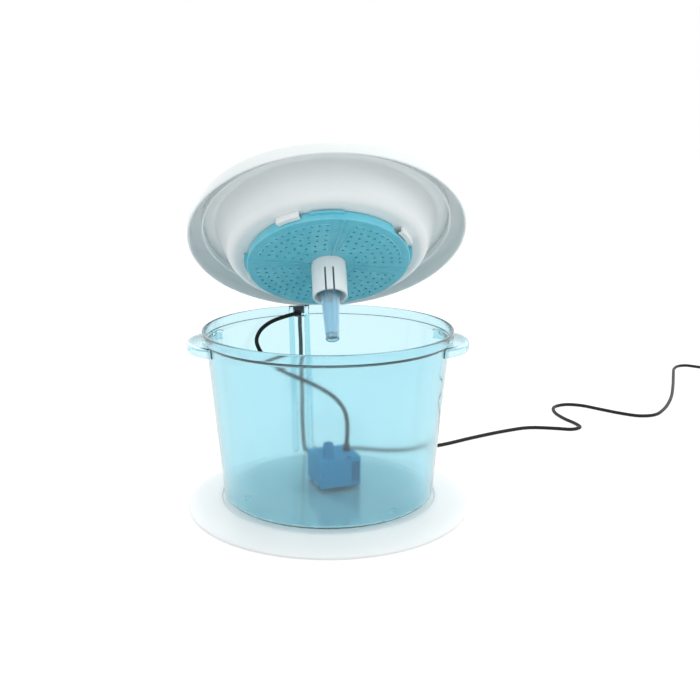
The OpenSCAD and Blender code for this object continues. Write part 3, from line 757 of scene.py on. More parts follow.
@dataclass
class PowerCord:
    """The pump's cord: up over the rim, down its duct, across the table, coiled."""

    diameter: float = 4.6
    coil_centre: Point = (672.0, 572.0, 3.4)
    coil_diameter: float = 52.0
    coil_turns: int = 2
    coil_angle: float = 228.0
    coil_rings: int = 24
    gap: float = 0.6
    exit: Point = (20.241, 23.33, 58.1)
    plug: Point = (732.0, 651.0, 7.0)
    plug_length: float = 27.0
    plug_width: float = 35.0
    plug_thick: float = 13.4
    neck_width: float = 13.0
    neck_thick: float = 9.5
    sleeve_length: float = 14.0
    sleeve_rings: int = 5
    ring_pitch: float = 2.6
    ring_width: float = 1.9
    pin_pitch: float = 18.6
    pin_radius: float = 2.0
    run: tuple[Point, ...] = (
        (21, 25, 67), (21, 31, 79), (18, 39, 91), (9, 48, 101), (-4, 58, 108),
        (-20, 68, 114), (-37, 73, 120), (-54, 75, 128), (-68, 77, 138), (-77, 80, 149),
        (-81, 84, 160), (-77, 90, 170), (-66, 98, 178), (-53, 106, 182), (-42, 113, 184),
        (-35, 118, 185), (-33, 123, 184), (-33, 126, 179), (-33, 125, 170), (-32, 122, 148),
        (-32, 120, 120), (-31, 117, 90), (-31, 115, 60), (-30, 113, 36), (-29, 115, 24),
        (-28, 121, 17), (-25, 131, 14), (-20, 144, 11), (-11, 158, 5), (4, 167, 2.4),
        (34, 168, 2.4), (69, 160, 2.4), (98, 160, 2.4), (121, 169, 2.4), (146, 180, 2.4),
        (187, 207, 2.4), (237, 236, 2.4), (270, 249, 2.4), (305, 245, 2.4), (325, 241, 2.4),
        (338, 250, 2.4), (336, 266, 2.4), (326, 290, 2.4), (320, 320, 2.4), (326, 346, 2.4),
        (345, 358, 2.4), (366, 353, 2.4), (388, 334, 2.4), (411, 314, 2.4), (434, 301, 2.4),
        (456, 305, 2.4), (479, 333, 2.4), (509, 390, 2.4), (538, 463, 2.4), (563, 532, 2.4),
        (577, 568, 2.4), (590, 585, 2.4), (604, 589, 2.4), (616, 582, 2.4), (627, 570, 3),
    )
    tail: tuple[Point, ...] = (
        (682, 605, 6.5), (674, 613, 4), (668, 623, 2.4), (668, 636, 2.4),
        (676, 647, 2.4), (690, 652, 2.4), (706, 652, 3.5), (720, 651, 6),
    )

    def _coil_at(self, turns: float) -> Vector:
        """A point of the coil, which spirals in, climbs a layer and spirals out.

        Args:
            turns: How many turns into the coil the point is.

        Returns:
            The point in millimetres.
        """
        step = self.diameter + self.gap
        least = self.coil_diameter / 2 - step * (self.coil_turns + 0.25) / 2
        radius = least + step * abs(turns - self.coil_turns - 0.25)
        rise = step * min(max(2 * (turns - self.coil_turns), 0), 1)
        angle = math.radians(self.coil_angle + 360 * turns)
        way = Vector((radius * math.cos(angle), radius * math.sin(angle), rise))
        return Vector(self.coil_centre) + way

    def _coil(self) -> list[Vector]:
        """The coil's points, with a straight lead at each end.

        Returns:
            The points in millimetres, in order.
        """
        turns = 2 * self.coil_turns + 0.5
        count = int(turns * self.coil_rings)
        points = [self._coil_at(turns * i / count) for i in range(count + 1)]
        start, end = (math.radians(self.coil_angle + 360 * t) for t in (0, turns))
        lead_in = points[0] - self.diameter * Vector((-math.sin(start), math.cos(start), 0))
        lead_out = points[-1] + self.diameter * Vector((-math.sin(end), math.cos(end), 0))
        return [lead_in, *points, lead_out]

    @staticmethod
    def _rounded(points: Sequence[Vector], pieces: int = 4) -> list[Vector]:
        """Round a route with a curve through its points.

        Args:
            points: The route's points.
            pieces: Number of straight pieces between two of them.

        Returns:
            The points of the curve, which is a centripetal Catmull-Rom spline.
        """
        ends = [2 * points[0] - points[1], *points, 2 * points[-1] - points[-2]]
        smooth = [points[0].copy()]
        for a, b, c, d in zip(ends, ends[1:], ends[2:], ends[3:]):
            t0 = 0.0
            t1 = t0 + math.sqrt((b - a).length)
            t2 = t1 + math.sqrt((c - b).length)
            t3 = t2 + math.sqrt((d - c).length)
            for i in range(1, pieces + 1):
                t = t1 + (t2 - t1) * i / pieces
                a1 = a * ((t1 - t) / (t1 - t0)) + b * ((t - t0) / (t1 - t0))
                a2 = b * ((t2 - t) / (t2 - t1)) + c * ((t - t1) / (t2 - t1))
                a3 = c * ((t3 - t) / (t3 - t2)) + d * ((t - t2) / (t3 - t2))
                b1 = a1 * ((t2 - t) / (t2 - t0)) + a2 * ((t - t0) / (t2 - t0))
                b2 = a2 * ((t3 - t) / (t3 - t1)) + a3 * ((t - t1) / (t3 - t1))
                smooth.append(b1 * ((t2 - t) / (t2 - t1)) + b2 * ((t - t1) / (t2 - t1)))
        return smooth

    def route(self) -> list[Vector]:
        """The whole centreline, from the gland to the plug.

        Returns:
            Its points in millimetres.
        """
        coil = self._coil()
        run = self._rounded([Vector(self.exit), *map(Vector, self.run), coil[0]])
        tail = self._rounded([coil[-1], *map(Vector, self.tail), Vector(self.plug)])
        return run + coil[1:-1] + tail

    def build(self) -> None:
        """Lay the cord, with its tie and its plug."""
        points = [p * MM for p in self.route()]
        line = bpy.data.curves.new("power_cord", "CURVE")
        line.dimensions = "3D"
        line.bevel_depth = self.diameter / 2 * MM
        line.bevel_resolution = 5
        line.use_fill_caps = True
        spline = line.splines.new("POLY")
        spline.points.add(len(points) - 1)
        for control, point in zip(spline.points, points):
            control.co = (*point, 1.0)
        spline.use_smooth = True
        cord = bpy.data.objects.new("power_cord", line)
        bpy.context.scene.collection.objects.link(cord)
        cord.data.materials.append(CORD_PVC.material())
        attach(cord, "tank")
        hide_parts("cord_run", "cord_coil", "cord_tail")
        tie = refined("coil_tie", "cord_tie", 0.25)
        dress(tie, DARK_ABS, "tank", ["coil_tie"])
        plug, pins = self._plug()

    def _plug(self) -> tuple[bpy.types.Object, bpy.types.Object]:
        """Model the flat two-pin plug, its ribbed sleeve and its pins.

        Returns:
            The plug and its pins.
        """
        x, y, z = self.plug
        bm = bmesh.new()
        bmesh.ops.create_cube(bm, size=1.0, matrix=Matrix.Translation((0.5, 0, 0)))
        for vert in bm.verts:
            near = vert.co.x < 0.5
            vert.co.x *= self.plug_length
            vert.co.y *= self.neck_width if near else self.plug_width
            vert.co.z *= self.neck_thick if near else self.plug_thick
        bmesh.ops.subdivide_edges(
            bm, edges=[e for e in bm.edges if abs(e.verts[0].co.x - e.verts[1].co.x) > 1], cuts=2
        )
        # The row of corners past the middle is as wide as the plug's face.
        for vert in bm.verts:
            if 12 < vert.co.x < 20:
                vert.co.y = math.copysign(self.plug_width / 2, vert.co.y)
                vert.co.z = math.copysign(self.plug_thick / 2, vert.co.z)
        bm.normal_update()
        bmesh.ops.bevel(
            bm, geom=[e for e in bm.edges if e.calc_face_angle(0) > 0.9], offset=3.2,
            segments=5, profile=0.5, affect="EDGES", material=-1, clamp_overlap=True,
        )
        bmesh.ops.transform(bm, matrix=Matrix.Translation((x + 11, y, z)), verts=bm.verts[:])
        bmesh.ops.scale(bm, vec=(MM, MM, MM), verts=bm.verts[:])
        radius = self.diameter / 2
        for i in range(self.sleeve_rings):
            start = x + i * self.ring_pitch
            rod(bm, radius + 0.7 + 0.2 * i, (start, y, z), (start + self.ring_width, y, z))
        rod(bm, radius + 0.4, (x, y, z), (x + self.sleeve_length, y, z))
        plug = to_object(bm, "two_pin_plug", limit=38)
        dress(plug, CORD_PVC, "tank", ["plug_body"])
        bm = bmesh.new()
        for side in (-1, 1):
            row = y + side * self.pin_pitch / 2
            face, tip = (x + 38, row, z), (x + 55.8, row, z)
            rod(bm, self.pin_radius, face, tip)
            rod(bm, self.pin_radius, tip, (x + 57, row, z), far_radius=1.2)
        pins = to_object(bm, "plug_contact_pins")
        dress(pins, PIN_METAL, "tank", ["plug_pins"])
        return plug, pins


# --------------------------------------------------------------- base plate


@dataclass
class BasePlate:
    """The white plate that the tank stands on, hollow and ribbed underneath."""

    radius: float = 150.0
    crown: float = 11.8
    crown_radius: float = 118.0
    lift: float = 1.0
    edge: float = 2.0
    seat_radius: float = 114.0
    seat_height: float = 10.2
    wall: float = 3.0
    ribs: int = 8
    rib_half: float = 1.0
    pads: int = 5
    pad_radius: float = 7.0
    pad_ring: float = 0.86
    boss_wall: float = 1.6
    boss_top: float = 7.4
    pad_seat: float = 1.6

    def _top(self, share: float) -> float:
        """Height of the skin at a share of the way in from the edge."""
        low = self.lift + self.edge
        return low + (self.crown - low) * share**0.55

    def build(self) -> None:
        """Model the plate, its ribs and its pads."""
        shares = [(i / 28) ** 2.2 for i in range(29)]
        width = self.radius - self.crown_radius
        skin = [(self.radius - s * width, self._top(s)) for s in shares]
        roof = [(r - self.wall, max(z - self.wall, self.lift + 0.6)) for r, z in skin[3:]]
        outline: Outline = [(0.0, self.seat_height), (self.seat_radius - 0.6, self.seat_height)]
        outline += arc((self.seat_radius - 0.6, self.seat_height + 0.6), (0.6, 0.6), -90, 0, 4)[1:]
        outline += arc((self.seat_radius + 1.4, self.crown - 1.0), (1.4, 1.0), 180, 90, 6)
        outline += list(reversed(skin))
        outline += arc((self.radius - 0.7, self.lift + 0.7), (0.7, 0.7), 0, -90, 5)
        outline += [(self.radius - self.wall, self.lift)]
        outline += roof
        ceiling = self.seat_height - self.wall
        outline += [(self.seat_radius, ceiling), (0.0, ceiling)]
        bm = bmesh.new()
        revolve(bm, outline, 192)
        for i in range(self.ribs):
            turn = Matrix.Rotation(FULL_TURN * i / self.ribs, 4, "Z")
            half = self.rib_half
            inner_end = (self.seat_radius, half, self.seat_height - 1)
            block(bm, (0, -half, self.lift), inner_end, 0.3, turn)
            outer_start = (self.seat_radius - 1, -half, self.lift)
            block(bm, outer_start, (self.radius - 9, half, self.crown - 6.2), 0.3, turn)
        for i in range(self.pads):
            angle = FULL_TURN * (i + 0.5) / self.pads - math.pi / 2
            ring = self.pad_ring * self.radius * MM
            place = Matrix.Translation((ring * math.cos(angle), ring * math.sin(angle), 0))
            outer = self.pad_radius + self.boss_wall
            bore = self.pad_radius
            profile = [(0, self.boss_top), (outer, self.boss_top), (outer, self.lift)]
            profile += [(bore, self.lift), (bore, self.pad_seat), (0, self.pad_seat)]
            boss = bmesh.new()
            revolve(boss, profile, 40)
            pour(boss, bm, place)
        plate = to_object(bm, "base_plate_moulding", limit=35)
        dress(plate, WHITE_ABS, "base", ["base_plate"])
        pads = refined("base_pads", "rubber_pads", 0.3)
        dress(pads, PAD_TPR, "base", ["base_pads"])


# --------------------------------------------------------------------- tank


@dataclass
class Tank:
    """The clear tank with its rim band, grips, cable duct and pegs."""

    bottom: float = 13.5
    foot_radius: float = 112.0
    neck_radius: float = 125.8
    rim_radius: float = 130.6
    rim: float = 193.0
    band: float = 178.0
    wall: float = 2.4
    rim_wall: float = 2.8
    corner: float = 6.0
    grip_radius: float = 55.0
    grip_centre: float = 92.5
    grip_top: float = 180.0
    grip_height: float = 10.0
    duct_angle: float = 15.0
    duct_gap: float = 13.0
    rib_width: float = 5.5
    rib_depth: float = 8.5
    rib_slope: float = 6.0
    notch_floor: float = 180.4
    pegs: int = 3
    peg_ring: float = 89.0
    peg_angle: float = 197.0
    peg_radius: float = 3.6

    def _outside(self) -> Outline:
        """The outer skin.

        Returns:
            Its points from the axis up to the rim.
        """
        corner = (self.foot_radius - self.corner, self.bottom + self.corner)
        skin: Outline = [(0.0, self.bottom), (self.foot_radius * 0.7, self.bottom)]
        skin += arc(corner, (self.corner, self.corner), -90, -5, 10)
        neck = (self.neck_radius, self.band - 3.5)
        skin += along(skin[-1], neck, 6) + [neck]
        step = self.rim_radius - self.neck_radius
        skin += arc((self.neck_radius + step, self.band + 0.5), (step, 4.0), 180, 118, 5)
        skin += arc((self.rim_radius - 1.6, self.band + 6.6), (1.6, 3.2), -62, 0, 5)
        return skin

    def _inside(self) -> Outline:
        """The inner skin.

        Returns:
            Its points from the axis up to the rim.
        """
        inner = self.foot_radius - self.wall
        radius = self.corner - self.wall
        floor = self.bottom + self.wall
        skin: Outline = [(0.0, floor), (inner * 0.7, floor)]
        skin += arc((inner - radius, floor + radius), (radius, radius), -90, -5, 8)
        neck = (self.neck_radius - self.wall, self.band - 2.6)
        skin += along(skin[-1], neck, 6) + [neck]
        rim_inner = self.rim_radius - self.rim_wall
        step = rim_inner - neck[0]
        skin += arc((neck[0] + step, self.band + 0.4), (step, 3.4), 180, 120, 4)
        skin += [(rim_inner, self.band + 5.5)]
        return skin

    def _shell(self) -> bpy.types.Object:
        """Spin the wall, the floor and the rim as one closed shell.

        Returns:
            The tank without its grips, ribs and pegs.
        """
        half = self.rim_wall / 2
        crest = arc((self.rim_radius - half, self.rim - half), (half, half), 0, 180, 10)
        bm = bmesh.new()
        revolve(bm, self._outside() + crest + list(reversed(self._inside())), 192)
        return to_object(bm, "clear_tank", limit=50)

    def _grips(self) -> bpy.types.Object:
        """Make both grips as thin caps that are open below.

        Returns:
            One object with both.
        """
        height, radius, edge = self.grip_height, self.grip_radius, 3.2
        cap: Outline = [(0.0, height)]
        cap += arc((radius - edge, height - edge), (edge, edge), 90, 0, 8)
        cap += arc((radius - 0.9, 0.9), (0.9, 0.9), 0, -90, 4)
        inner = radius - self.wall
        cap += arc((inner + 0.5, 0.5), (0.5, 0.5), -90, -180, 3)
        bend = (inner - edge + 1.4, height - self.wall - edge + 1.4)
        cap += arc(bend, (edge - 1.4,) * 2, 0, 90, 5)
        cap += [(0.0, height - self.wall)]
        bm = bmesh.new()
        for side in (-1, 1):
            half = bmesh.new()
            revolve(half, cap, 128)
            place = (side * self.grip_centre * MM, 0, (self.grip_top - height) * MM)
            pour(half, bm, Matrix.Translation(place))
        return to_object(bm, "grips", limit=40)

    def _ribs(self, bm: bmesh.types.BMesh) -> None:
        """Add the two ribs that guide the cord down the back.

        Args:
            bm: The mesh to add to.
        """
        turn = Matrix.Rotation(math.radians(90 + self.duct_angle), 4, "Z")
        low, high = self.bottom + self.corner, self.rim - 0.6
        lean = (self.neck_radius - self.foot_radius) / (self.band - 2 - low)
        for side in (-1, 1):
            middle = side * (self.duct_gap + self.rib_width) / 2
            made = bmesh.ops.create_cube(bm, size=1.0)
            verts = made["verts"]
            for vert in verts:
                z = high if vert.co.z > 0 else low
                wall_radius = self.foot_radius + lean * (min(z, self.band) - low)
                inner = wall_radius - self.wall / 2 + (3.6 if vert.co.z > 0 else 0)
                r = wall_radius + self.rib_depth if vert.co.x > 0 else inner
                y = middle + vert.co.y * self.rib_width
                vert.co = turn @ Vector((r * MM, y * MM, z * MM))
            # The outer top corner slopes, so that the dish's lip clears it.
            corner = turn @ Vector(((self.rim_radius + 0.6) * MM, 0, high * MM))
            past_rim = self.neck_radius + self.rib_depth - self.rim_radius - 0.6
            slope = turn @ Vector((self.rib_slope, 0, past_rim)).normalized()
            whole = verts[:] + list({e for v in verts for e in v.link_edges})
            whole += list({f for v in verts for f in v.link_faces})
            cut = bmesh.ops.bisect_plane(
                bm, geom=whole, plane_co=corner, plane_no=slope, clear_outer=True
            )["geom_cut"]
            rims = [g for g in cut if isinstance(g, bmesh.types.BMEdge)]
            verts = [v for v in verts if v.is_valid]
            verts += [g for g in cut if isinstance(g, bmesh.types.BMVert)]
            bmesh.ops.edgeloop_fill(bm, edges=rims)
            bm.normal_update()
            edges = {e for v in verts for e in v.link_edges}
            bmesh.ops.bevel(
                bm, geom=list(edges), offset=1.1 * MM, segments=3, profile=0.5,
                affect="EDGES", material=-1, clamp_overlap=True,
            )

    def build(self) -> None:
        """Join the shell, the grips and the ribs, and cut the notch."""
        tank = self._shell()
        extras = self._grips()
        bm = bmesh.new()
        bm.from_mesh(extras.data)
        self._ribs(bm)
        for i in range(self.pegs):
            angle = math.radians(self.peg_angle + 120 * i)
            x, y = self.peg_ring * math.cos(angle), self.peg_ring * math.sin(angle)
            rod(bm, self.peg_radius, (x, y, self.bottom - 3.1), (x, y, self.bottom + 1.2), 40)
        bm.to_mesh(extras.data)
        bm.free()
        # What is cut out of the extras reaches a little into the shell's wall and floor.
        core = bmesh.new()
        flat = self.foot_radius - 6
        lowered = [
            (r + (0.8 if r > 1 else 0.0), z - (1.0 if r < flat and z < 20 else 0.0))
            for r, z in self._inside()
        ]
        revolve(core, lowered + [(lowered[-1][0], self.rim + 5), (0.0, self.rim + 5)], 192)
        combine(extras, to_object(core, "core"), "DIFFERENCE", 40)
        combine(tank, extras, "UNION", 40)
        cut = bmesh.new()
        turn = Matrix.Rotation(math.radians(90 + self.duct_angle), 4, "Z")
        half = self.duct_gap / 2
        out, top = self.neck_radius + 20, self.rim + 3
        block(cut, (self.neck_radius - 6, -half, self.notch_floor), (out, half, top), 0.0, turn)
        inner = (self.neck_radius + 0.2, -half + 0.01, self.band - 4)
        block(cut, inner, (out, half - 0.01, top), 0.0, turn)
        combine(tank, to_object(cut, "notch"), "DIFFERENCE", 40)
        dress(tank, TINTED_SAN, "tank", ["tank"])


# --------------------------------------------------------------------- dish


@dataclass
class Dish:
    """The drinking dish, held open, and everything that it carries."""

    lip_height: float = 183.3
    hinge: Point = (0.0, 149.3, 200.6)
    hinge_axis: Point = (-1.0, -0.066, 0.011)
    opened: float = 39.2
    radius: float = 145.0
    brim: float = 20.5
    wall: float = 2.4
    basin_radius: float = 119.5
    depth: float = 21.0
    lean: float = 20.0
    brim_a: float = 15.0
    brim_b: float = 10.0
    shoulder: float = 7.0
    bend: float = 10.0
    collar_radius: float = 17.8
    collar_bore: float = 14.8
    collar_length: float = 48.0
    seat_ring: float = 129.2
    drain_radius: float = 2.4
    slit_width: float = 1.8
    slit_length: float = 26.0
    slit_pitch: float = 8.2
    hook_shelf: float = -27.6
    hook_span: float = 16.0
    tray_radius: float = 84.0
    tray_top: float = -21.5
    tray_low: float = -31.1
    tray_wall: float = 1.8
    hole_rings: tuple[float, ...] = (31.0, 39.5, 48.0, 56.5, 65.0, 73.5)
    hole_pitch: float = 8.6
    hole_radius: float = 1.45
    first_rib: float = 11.0
    lug_reach: float = 3.0
    lug_span: float = 22.0
    lock_turn: float = 26.0
    pipe_bore: float = 5.65
    pipe_tip: float = -117.0
    pipe_shoulder: float = -111.0
    placed: Matrix = field(init=False)

    def __post_init__(self) -> None:
        """Work out the turn from the closed dish to the open one."""
        pivot = Vector(self.hinge) * MM
        turn = Matrix.Rotation(math.radians(self.opened), 4, Vector(self.hinge_axis).normalized())
        lift = Matrix.Translation((0, 0, self.lip_height * MM))
        self.placed = Matrix.Translation(pivot) @ turn @ Matrix.Translation(-pivot) @ lift

    def _skin(self, inset: float) -> Outline:
        """One skin of the dish, from its lip to its collar.

        Args:
            inset: How far the skin is set in from the side that pets drink from.

        Returns:
            Its points, as radius and height.
        """
        lean = math.radians(self.lean)
        floor = self.wall - self.depth
        wall_radius = self.basin_radius - self.shoulder * math.cos(lean)
        wall_height = self.brim - self.shoulder + self.shoulder * math.sin(lean)
        bend_height = floor + self.bend
        drop = wall_height - (bend_height - self.bend * math.sin(lean))
        bend_radius = wall_radius - drop * math.tan(lean) - self.bend * math.cos(lean)
        roll = (self.radius - self.brim_a, self.brim - self.brim_b)
        top = (self.basin_radius, self.brim - self.shoulder)
        skin = arc(roll, (self.brim_a - inset, self.brim_b - inset), 0, 90, 16)
        skin += arc(top, (self.shoulder - inset,) * 2, 90, 180 - self.lean, 10)
        skin += arc((bend_radius, bend_height), (self.bend + inset,) * 2, -self.lean, -90, 12)
        skin += [(60.0, floor - inset), (30.0, floor - inset), (self.collar_bore, floor - inset)]
        return skin

    def _dish(self) -> None:
        """Model the dish with its seat ring, drain holes, hooks and collar."""
        outer, inner = self._skin(0.0), self._skin(self.wall)
        lip = arc((self.radius - self.wall / 2, self.wall / 2), (self.wall / 2,) * 2, -180, 0, 8)
        bm = bmesh.new()
        revolve(bm, lip + outer + list(reversed(inner)), 224)
        dish = to_object(bm, "drinking_dish", limit=35)
        cut = bmesh.new()
        floor = self.wall - self.depth
        for ring, count in ((0.6 * self.basin_radius, 24), (0.42 * self.basin_radius, 18)):
            for i in range(count):
                angle = FULL_TURN * i / count
                x, y = ring * math.cos(angle), ring * math.sin(angle)
                rod(cut, self.drain_radius, (x, y, floor - self.wall - 1), (x, y, floor + 1), 20)
        combine(dish, to_object(cut, "drains"), "DIFFERENCE", 35)
        extra = self._collar()
        bm = bmesh.new()
        bm.from_mesh(dish.data)
        bm.from_mesh(extra.data)
        used = extra.data
        bpy.data.objects.remove(extra)
        bpy.data.meshes.remove(used)
        seat = self.seat_ring
        foot = [(seat - 1, 10.4), (seat - 0.6, 10), (seat + 0.6, 10), (seat + 1, 10.4)]
        revolve(bm, foot + [(seat + 1, 19), (seat - 1, 19)], 160)
        self._hooks(bm)
        old = dish.data
        bpy.data.objects.remove(dish)
        bpy.data.meshes.remove(old)
        made = to_object(bm, "drinking_dish", self.placed, 35)
        dress(made, WHITE_ABS, "lid", ["lid_dish"])

    def _collar(self) -> bpy.types.Object:
        """Make the split collar that grips the feed pipe.

        Returns:
            The collar, still in the closed dish's frame.
        """
        top, low = -self.depth + 1.2, -self.depth - self.collar_length
        bore = self.collar_bore
        ring: Outline = [(bore, top), (bore, low + 1.6), (bore + 0.9, low)]
        ring += arc((self.collar_radius - 0.8, low + 0.8), (0.8, 0.8), -90, 0, 5)
        ring += [(self.collar_radius, top - 3.2)]
        ring += arc((self.collar_radius + 2.0, top - 3.2), (2.0, 2.0), 180, 90, 5)
        ring += [(self.collar_radius + 2.0, top)]
        bm = bmesh.new()
        revolve(bm, ring, 96)
        collar = to_object(bm, "collar", limit=35)
        cut = bmesh.new()
        half = self.slit_width / 2
        for side in (-22, 22):
            for slit in (-self.slit_pitch / 2, self.slit_pitch / 2):
                start = (slit - half, min(0, side), low - 1)
                block(cut, start, (slit + half, max(0, side), low + self.slit_length))
        combine(collar, to_object(cut, "slits"), "DIFFERENCE", 35)
        return collar

    def _hooks(self, bm: bmesh.types.BMesh) -> None:
        """Add the four hooks that hold the tray's lugs.

        Args:
            bm: The mesh to add to.
        """
        shelf, root = self.hook_shelf, -self.depth + 1
        inner = self.tray_radius + 0.3
        leg = self.tray_radius + self.lug_reach + 0.3
        outer = self.tray_radius + self.lug_reach + 2.5
        section = [(inner, shelf - 2.2 + 2), (inner, shelf + 2 - 0.2), (leg, shelf + 2 - 0.2)]
        section += [(leg, root), (outer, root), (outer, shelf - 0.2)]
        for i in range(4):
            start = 90 * i - self.lock_turn - self.hook_span / 2
            sector(bm, section, start, self.hook_span, 12)

    def build(self) -> None:
        """Model the dish and what it carries."""
        self._dish()
        cap = refined("bubble_cap", "bubble_cap_dome", 0.35)
        dress(cap, WHITE_ABS, "cap", ["bubble_cap"])
        self._tray()
        self._pads()
        self._pipe()

    def _tray(self) -> None:
        """Model the tray: rim, hub, raised sector panels, ribs, lugs and holes."""
        top, low, wall = self.tray_top, self.tray_low, self.tray_wall
        hub, rim = self.collar_radius + 0.3, self.tray_radius
        floor = low + wall
        outline: Outline = [(hub, low + 0.4), (hub + 0.4, low)]
        outline += arc((rim - 1.2, low + 1.2), (1.2, 1.2), -90, 0, 6)
        outline += arc((rim - wall / 2, top - wall / 2), (wall / 2,) * 2, 0, 180, 6)
        outline += [(rim - wall, floor + 0.6), (rim - wall - 0.6, floor)]
        outline += [(hub + 2.0, floor), (hub + 1.6, floor + 0.4)]
        outline += [(hub + 1.6, top - 0.6), (hub + 1.2, top - 0.3), (hub, top - 0.3)]
        bm = bmesh.new()
        revolve(bm, outline, 144)
        tray = to_object(bm, "filter_tray_moulding", limit=35)
        add = bmesh.new()
        for i in range(4):
            base = self.first_rib + 90 * i
            turn = Matrix.Rotation(math.radians(base), 4, "Z")
            block(add, (hub + 0.8, -1.2, low - 1.0), (rim - 1.5, 1.2, low + 0.9), 0.3, turn)
            block(add, (hub + 7, -3.6, low - 0.35), (rim - 4, -2.9, low + 0.6), 0.15, turn)
            block(add, (hub + 7, 2.9, low - 0.35), (rim - 4, 3.6, low + 0.6), 0.15, turn)
            panel = [(hub + 10, low - 0.7), (rim - 9, low - 0.7)]
            panel += [(rim - 8.2, low + 0.6), (hub + 9.2, low + 0.6)]
            sector(add, panel, base + 9, 72.0, 30)
            tip = rim + self.lug_reach
            lug = [(rim - 0.9, -25.3), (tip - 0.4, -25.3), (tip, -24.9)]
            lug += [(tip, -23.3), (tip - 0.4, -22.9), (rim - 0.9, -22.9)]
            sector(add, lug, 90 * i - self.lug_span / 2, self.lug_span, 10)
        combine(tray, to_object(add, "panels"), "UNION", 35)
        cut = bmesh.new()
        for i in range(4):
            for ring in self.hole_rings:
                holes = int((FULL_TURN * ring / 4 - 12) / self.hole_pitch)
                for k in range(holes):
                    angle = math.radians(19 + 90 * i + 74 * (k + 0.5) / holes)
                    x, y = ring * math.cos(angle), ring * math.sin(angle)
                    rod(cut, self.hole_radius, (x, y, low - 2), (x, y, low + 3), 12)
        inner = rim - wall - 0.05
        notch = [(inner, floor + 0.3), (rim + 1, floor + 0.3), (rim + 1, top + 1), (inner, top + 1)]
        sector(cut, notch, 321.0, 16.0, 8)
        combine(tray, to_object(cut, "holes"), "DIFFERENCE", 35)
        tray.data.transform(self.placed)
        dress(tray, TRAY_SAN, "tray", ["filter_tray"])

    def _pads(self) -> None:
        """Model the carbon fleece and the sponge ring as soft, rounded pads."""
        hub, out = self.collar_radius + 2.2, self.tray_radius - 2.8
        pads = (
            ("carbon_pad", "carbon_fleece_pad", -29.3, -26.1, CARBON_FLEECE, "tray", "carbon_felt"),
            ("filter_sponge", "sponge_ring", -25.8, -21.3, FILTER_FOAM, "sponge", "sponge"),
        )
        for node, name, low, high, finish, body, slot in pads:
            half = (high - low) / 2
            middle = (high + low) / 2
            outline = arc((out - half, middle), (half, half * 0.98), -90, 90, 8)
            outline += along(outline[-1], (hub + half, high), 12)
            outline += arc((hub + half, middle), (half, half * 0.98), 90, 270, 8)
            outline += along(outline[-1], (out - half, low), 12)
            bm = bmesh.new()
            revolve(bm, outline, 120)
            # Both faces wave by a tenth of a millimetre, inside the round edge.
            for vert in bm.verts:
                r = vert.co.xy.length / MM
                wave = math.sin(vert.co.x * 190) * math.sin(vert.co.y * 160)
                share = max(0.0, 1 - abs(vert.co.z / MM - middle) / half * 0.2)
                way = -1 if vert.co.z / MM > middle else 1
                vert.co.z += 0.12 * MM * wave * share * way * (1 if r < out - half else 0)
            pad = to_object(bm, name, self.placed, 60)
            dress(pad, finish, body, [node])

    def _pipe(self) -> None:
        """Model the feed pipe, with its cone, bead and seal."""
        bore, tip, shoulder = self.pipe_bore, self.pipe_tip, self.pipe_shoulder
        outer: Outline = [(14.5, -34.6), (14.5, -56.0), (13.9, -57.2)]
        outer += [(9.9, -66.8), (9.6, -68.0), (9.35, -72.0)]
        outer += along((9.35, -72.0), (6.9, -110.0), 6)
        outer += [(6.9, -110.0), (6.8, shoulder), (6.8, tip + 0.5), (6.4, tip)]
        inner: Outline = [(bore + 0.3, tip), (bore, tip + 0.4), (bore, shoulder)]
        inner += [(8.45, -68.0), (13.35, -56.0), (13.35, -34.0)]
        bm = bmesh.new()
        revolve(bm, outer + inner + [(14.1, -34.0)], 96)
        pipe = to_object(bm, "feed_pipe_moulding", self.placed, 30)
        dress(pipe, PIPE_SAN, "pipe", ["feed_pipe"])
        dress_node("pipe_seal", PAD_TPR)


# --------------------------------------------------------------------- pump


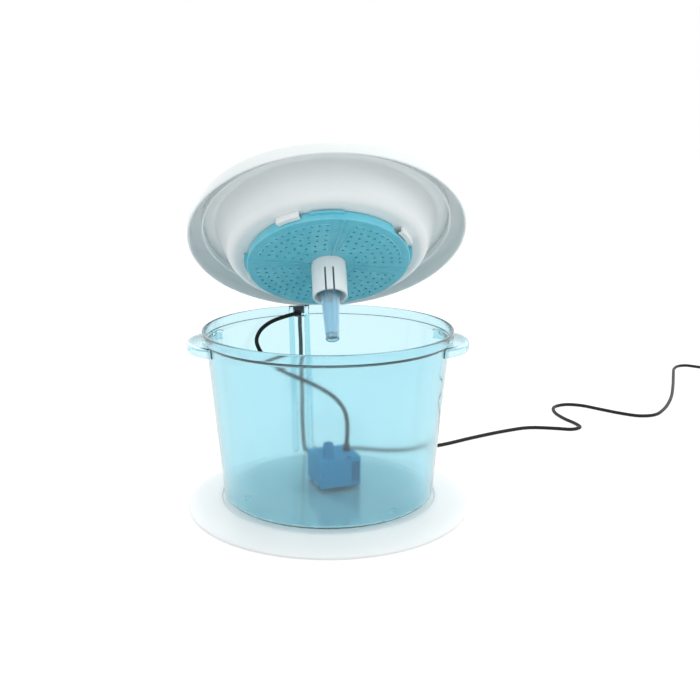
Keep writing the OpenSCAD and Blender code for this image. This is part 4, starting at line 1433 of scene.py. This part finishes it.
@dataclass
class Pump:
    """The submerged pump, turned on the tank's floor, and its cover."""

    turn: float = 20.0
    floor: float = 15.9
    cup_height: float = 2.7
    cup_inset: float = 6.5
    left: float = -11.4
    right: float = 34.6
    front: float = -5.6
    back: float = 35.2
    outlet: float = 5.35
    outlet_low: float = 52.2
    outlet_high: float = 64.4
    ridges: int = 18

    def _cups(self) -> None:
        """Model the four suction cups, thin at the rim with a knob on top."""
        bm = bmesh.new()
        outline: Outline = [(0.0, 1.0), (3.0, 0.9), (6.6, 0.05), (7.9, 0.0), (8.0, 0.35)]
        outline += [(6.4, 1.1), (4.2, 1.9), (3.5, 2.4), (3.5, self.cup_height)]
        outline += [(2.0, self.cup_height), (2.0, 5.7), (0.0, 5.7)]
        turn = Matrix.Rotation(math.radians(self.turn), 4, "Z")
        for x in (self.left + self.cup_inset, self.right - self.cup_inset):
            for y in (self.front + self.cup_inset, self.back - self.cup_inset):
                part = bmesh.new()
                revolve(part, outline, 48)
                pour(part, bm, turn @ Matrix.Translation((x * MM, y * MM, self.floor * MM)))
        cups = to_object(bm, "suction_cup_set", limit=50)
        dress(cups, CUP_PVC, "tank", ["suction_cups"])

    def build(self) -> None:
        """Dress the pump's case, cover and working parts."""
        rigid = (
            ("pump_body", "pump_case", 0.7, PUMP_ABS, "tank", "pump_plastic"),
            ("pump_cover", "pump_front_cover", 0.35, PUMP_ABS, "cover", "pump_plastic"),
            ("flow_slider", "flow_slider_tab", 0.2, DARK_ABS, "slider", "pump_plastic"),
            ("impeller", "impeller_wheel", 0.2, WHITE_ABS, "rotor", "white_plastic"),
            ("rotor_magnet", "rotor_magnet_core", 0.3, FERRITE, "rotor", "ferrite"),
            ("potting_cap", "potting_plate", 0.3, DARK_ABS, "tank", "pump_plastic"),
            ("cord_gland", "cord_gland_sleeve", 0.4, CORD_PVC, "tank", "cord_jacket"),
        )
        for node, name, soften, finish, body, slot in rigid:
            dress(refined(node, name, soften), finish, body, [node])
        for node, finish in (
            ("cover_seal", PAD_TPR), ("rotor_shaft", CERAMIC), ("rear_bush", PAD_TPR),
            ("front_bush", PAD_TPR), ("stator_core", CORE_STEEL), ("stator_coil", WINDING),
        ):
            dress_node(node, finish)
        self._cups()
        self._ridges()

    def _ridges(self) -> None:
        """Add the fine upright ridges of the outlet."""
        bm = bmesh.new()
        for i in range(self.ridges):
            turn = Matrix.Rotation(FULL_TURN * (i + 0.5) / self.ridges, 4, "Z")
            low = (self.outlet - 0.4, -0.35, self.outlet_low)
            block(bm, low, (self.outlet + 0.35, 0.35, self.outlet_high), 0.2, turn)
        ridges = to_object(bm, "outlet_ridges", limit=50)
        dress(ridges, PUMP_ABS, "tank")


def main() -> None:
    """Build the stage, the cord and each sub-assembly in order."""
    logging.basicConfig(level=logging.INFO, format="%(name)s: %(message)s")
    for part in (Stage(), PowerCord(), BasePlate(), Tank(), Dish(), Pump()):
        part.build()


if __name__ == "__main__":
    main()
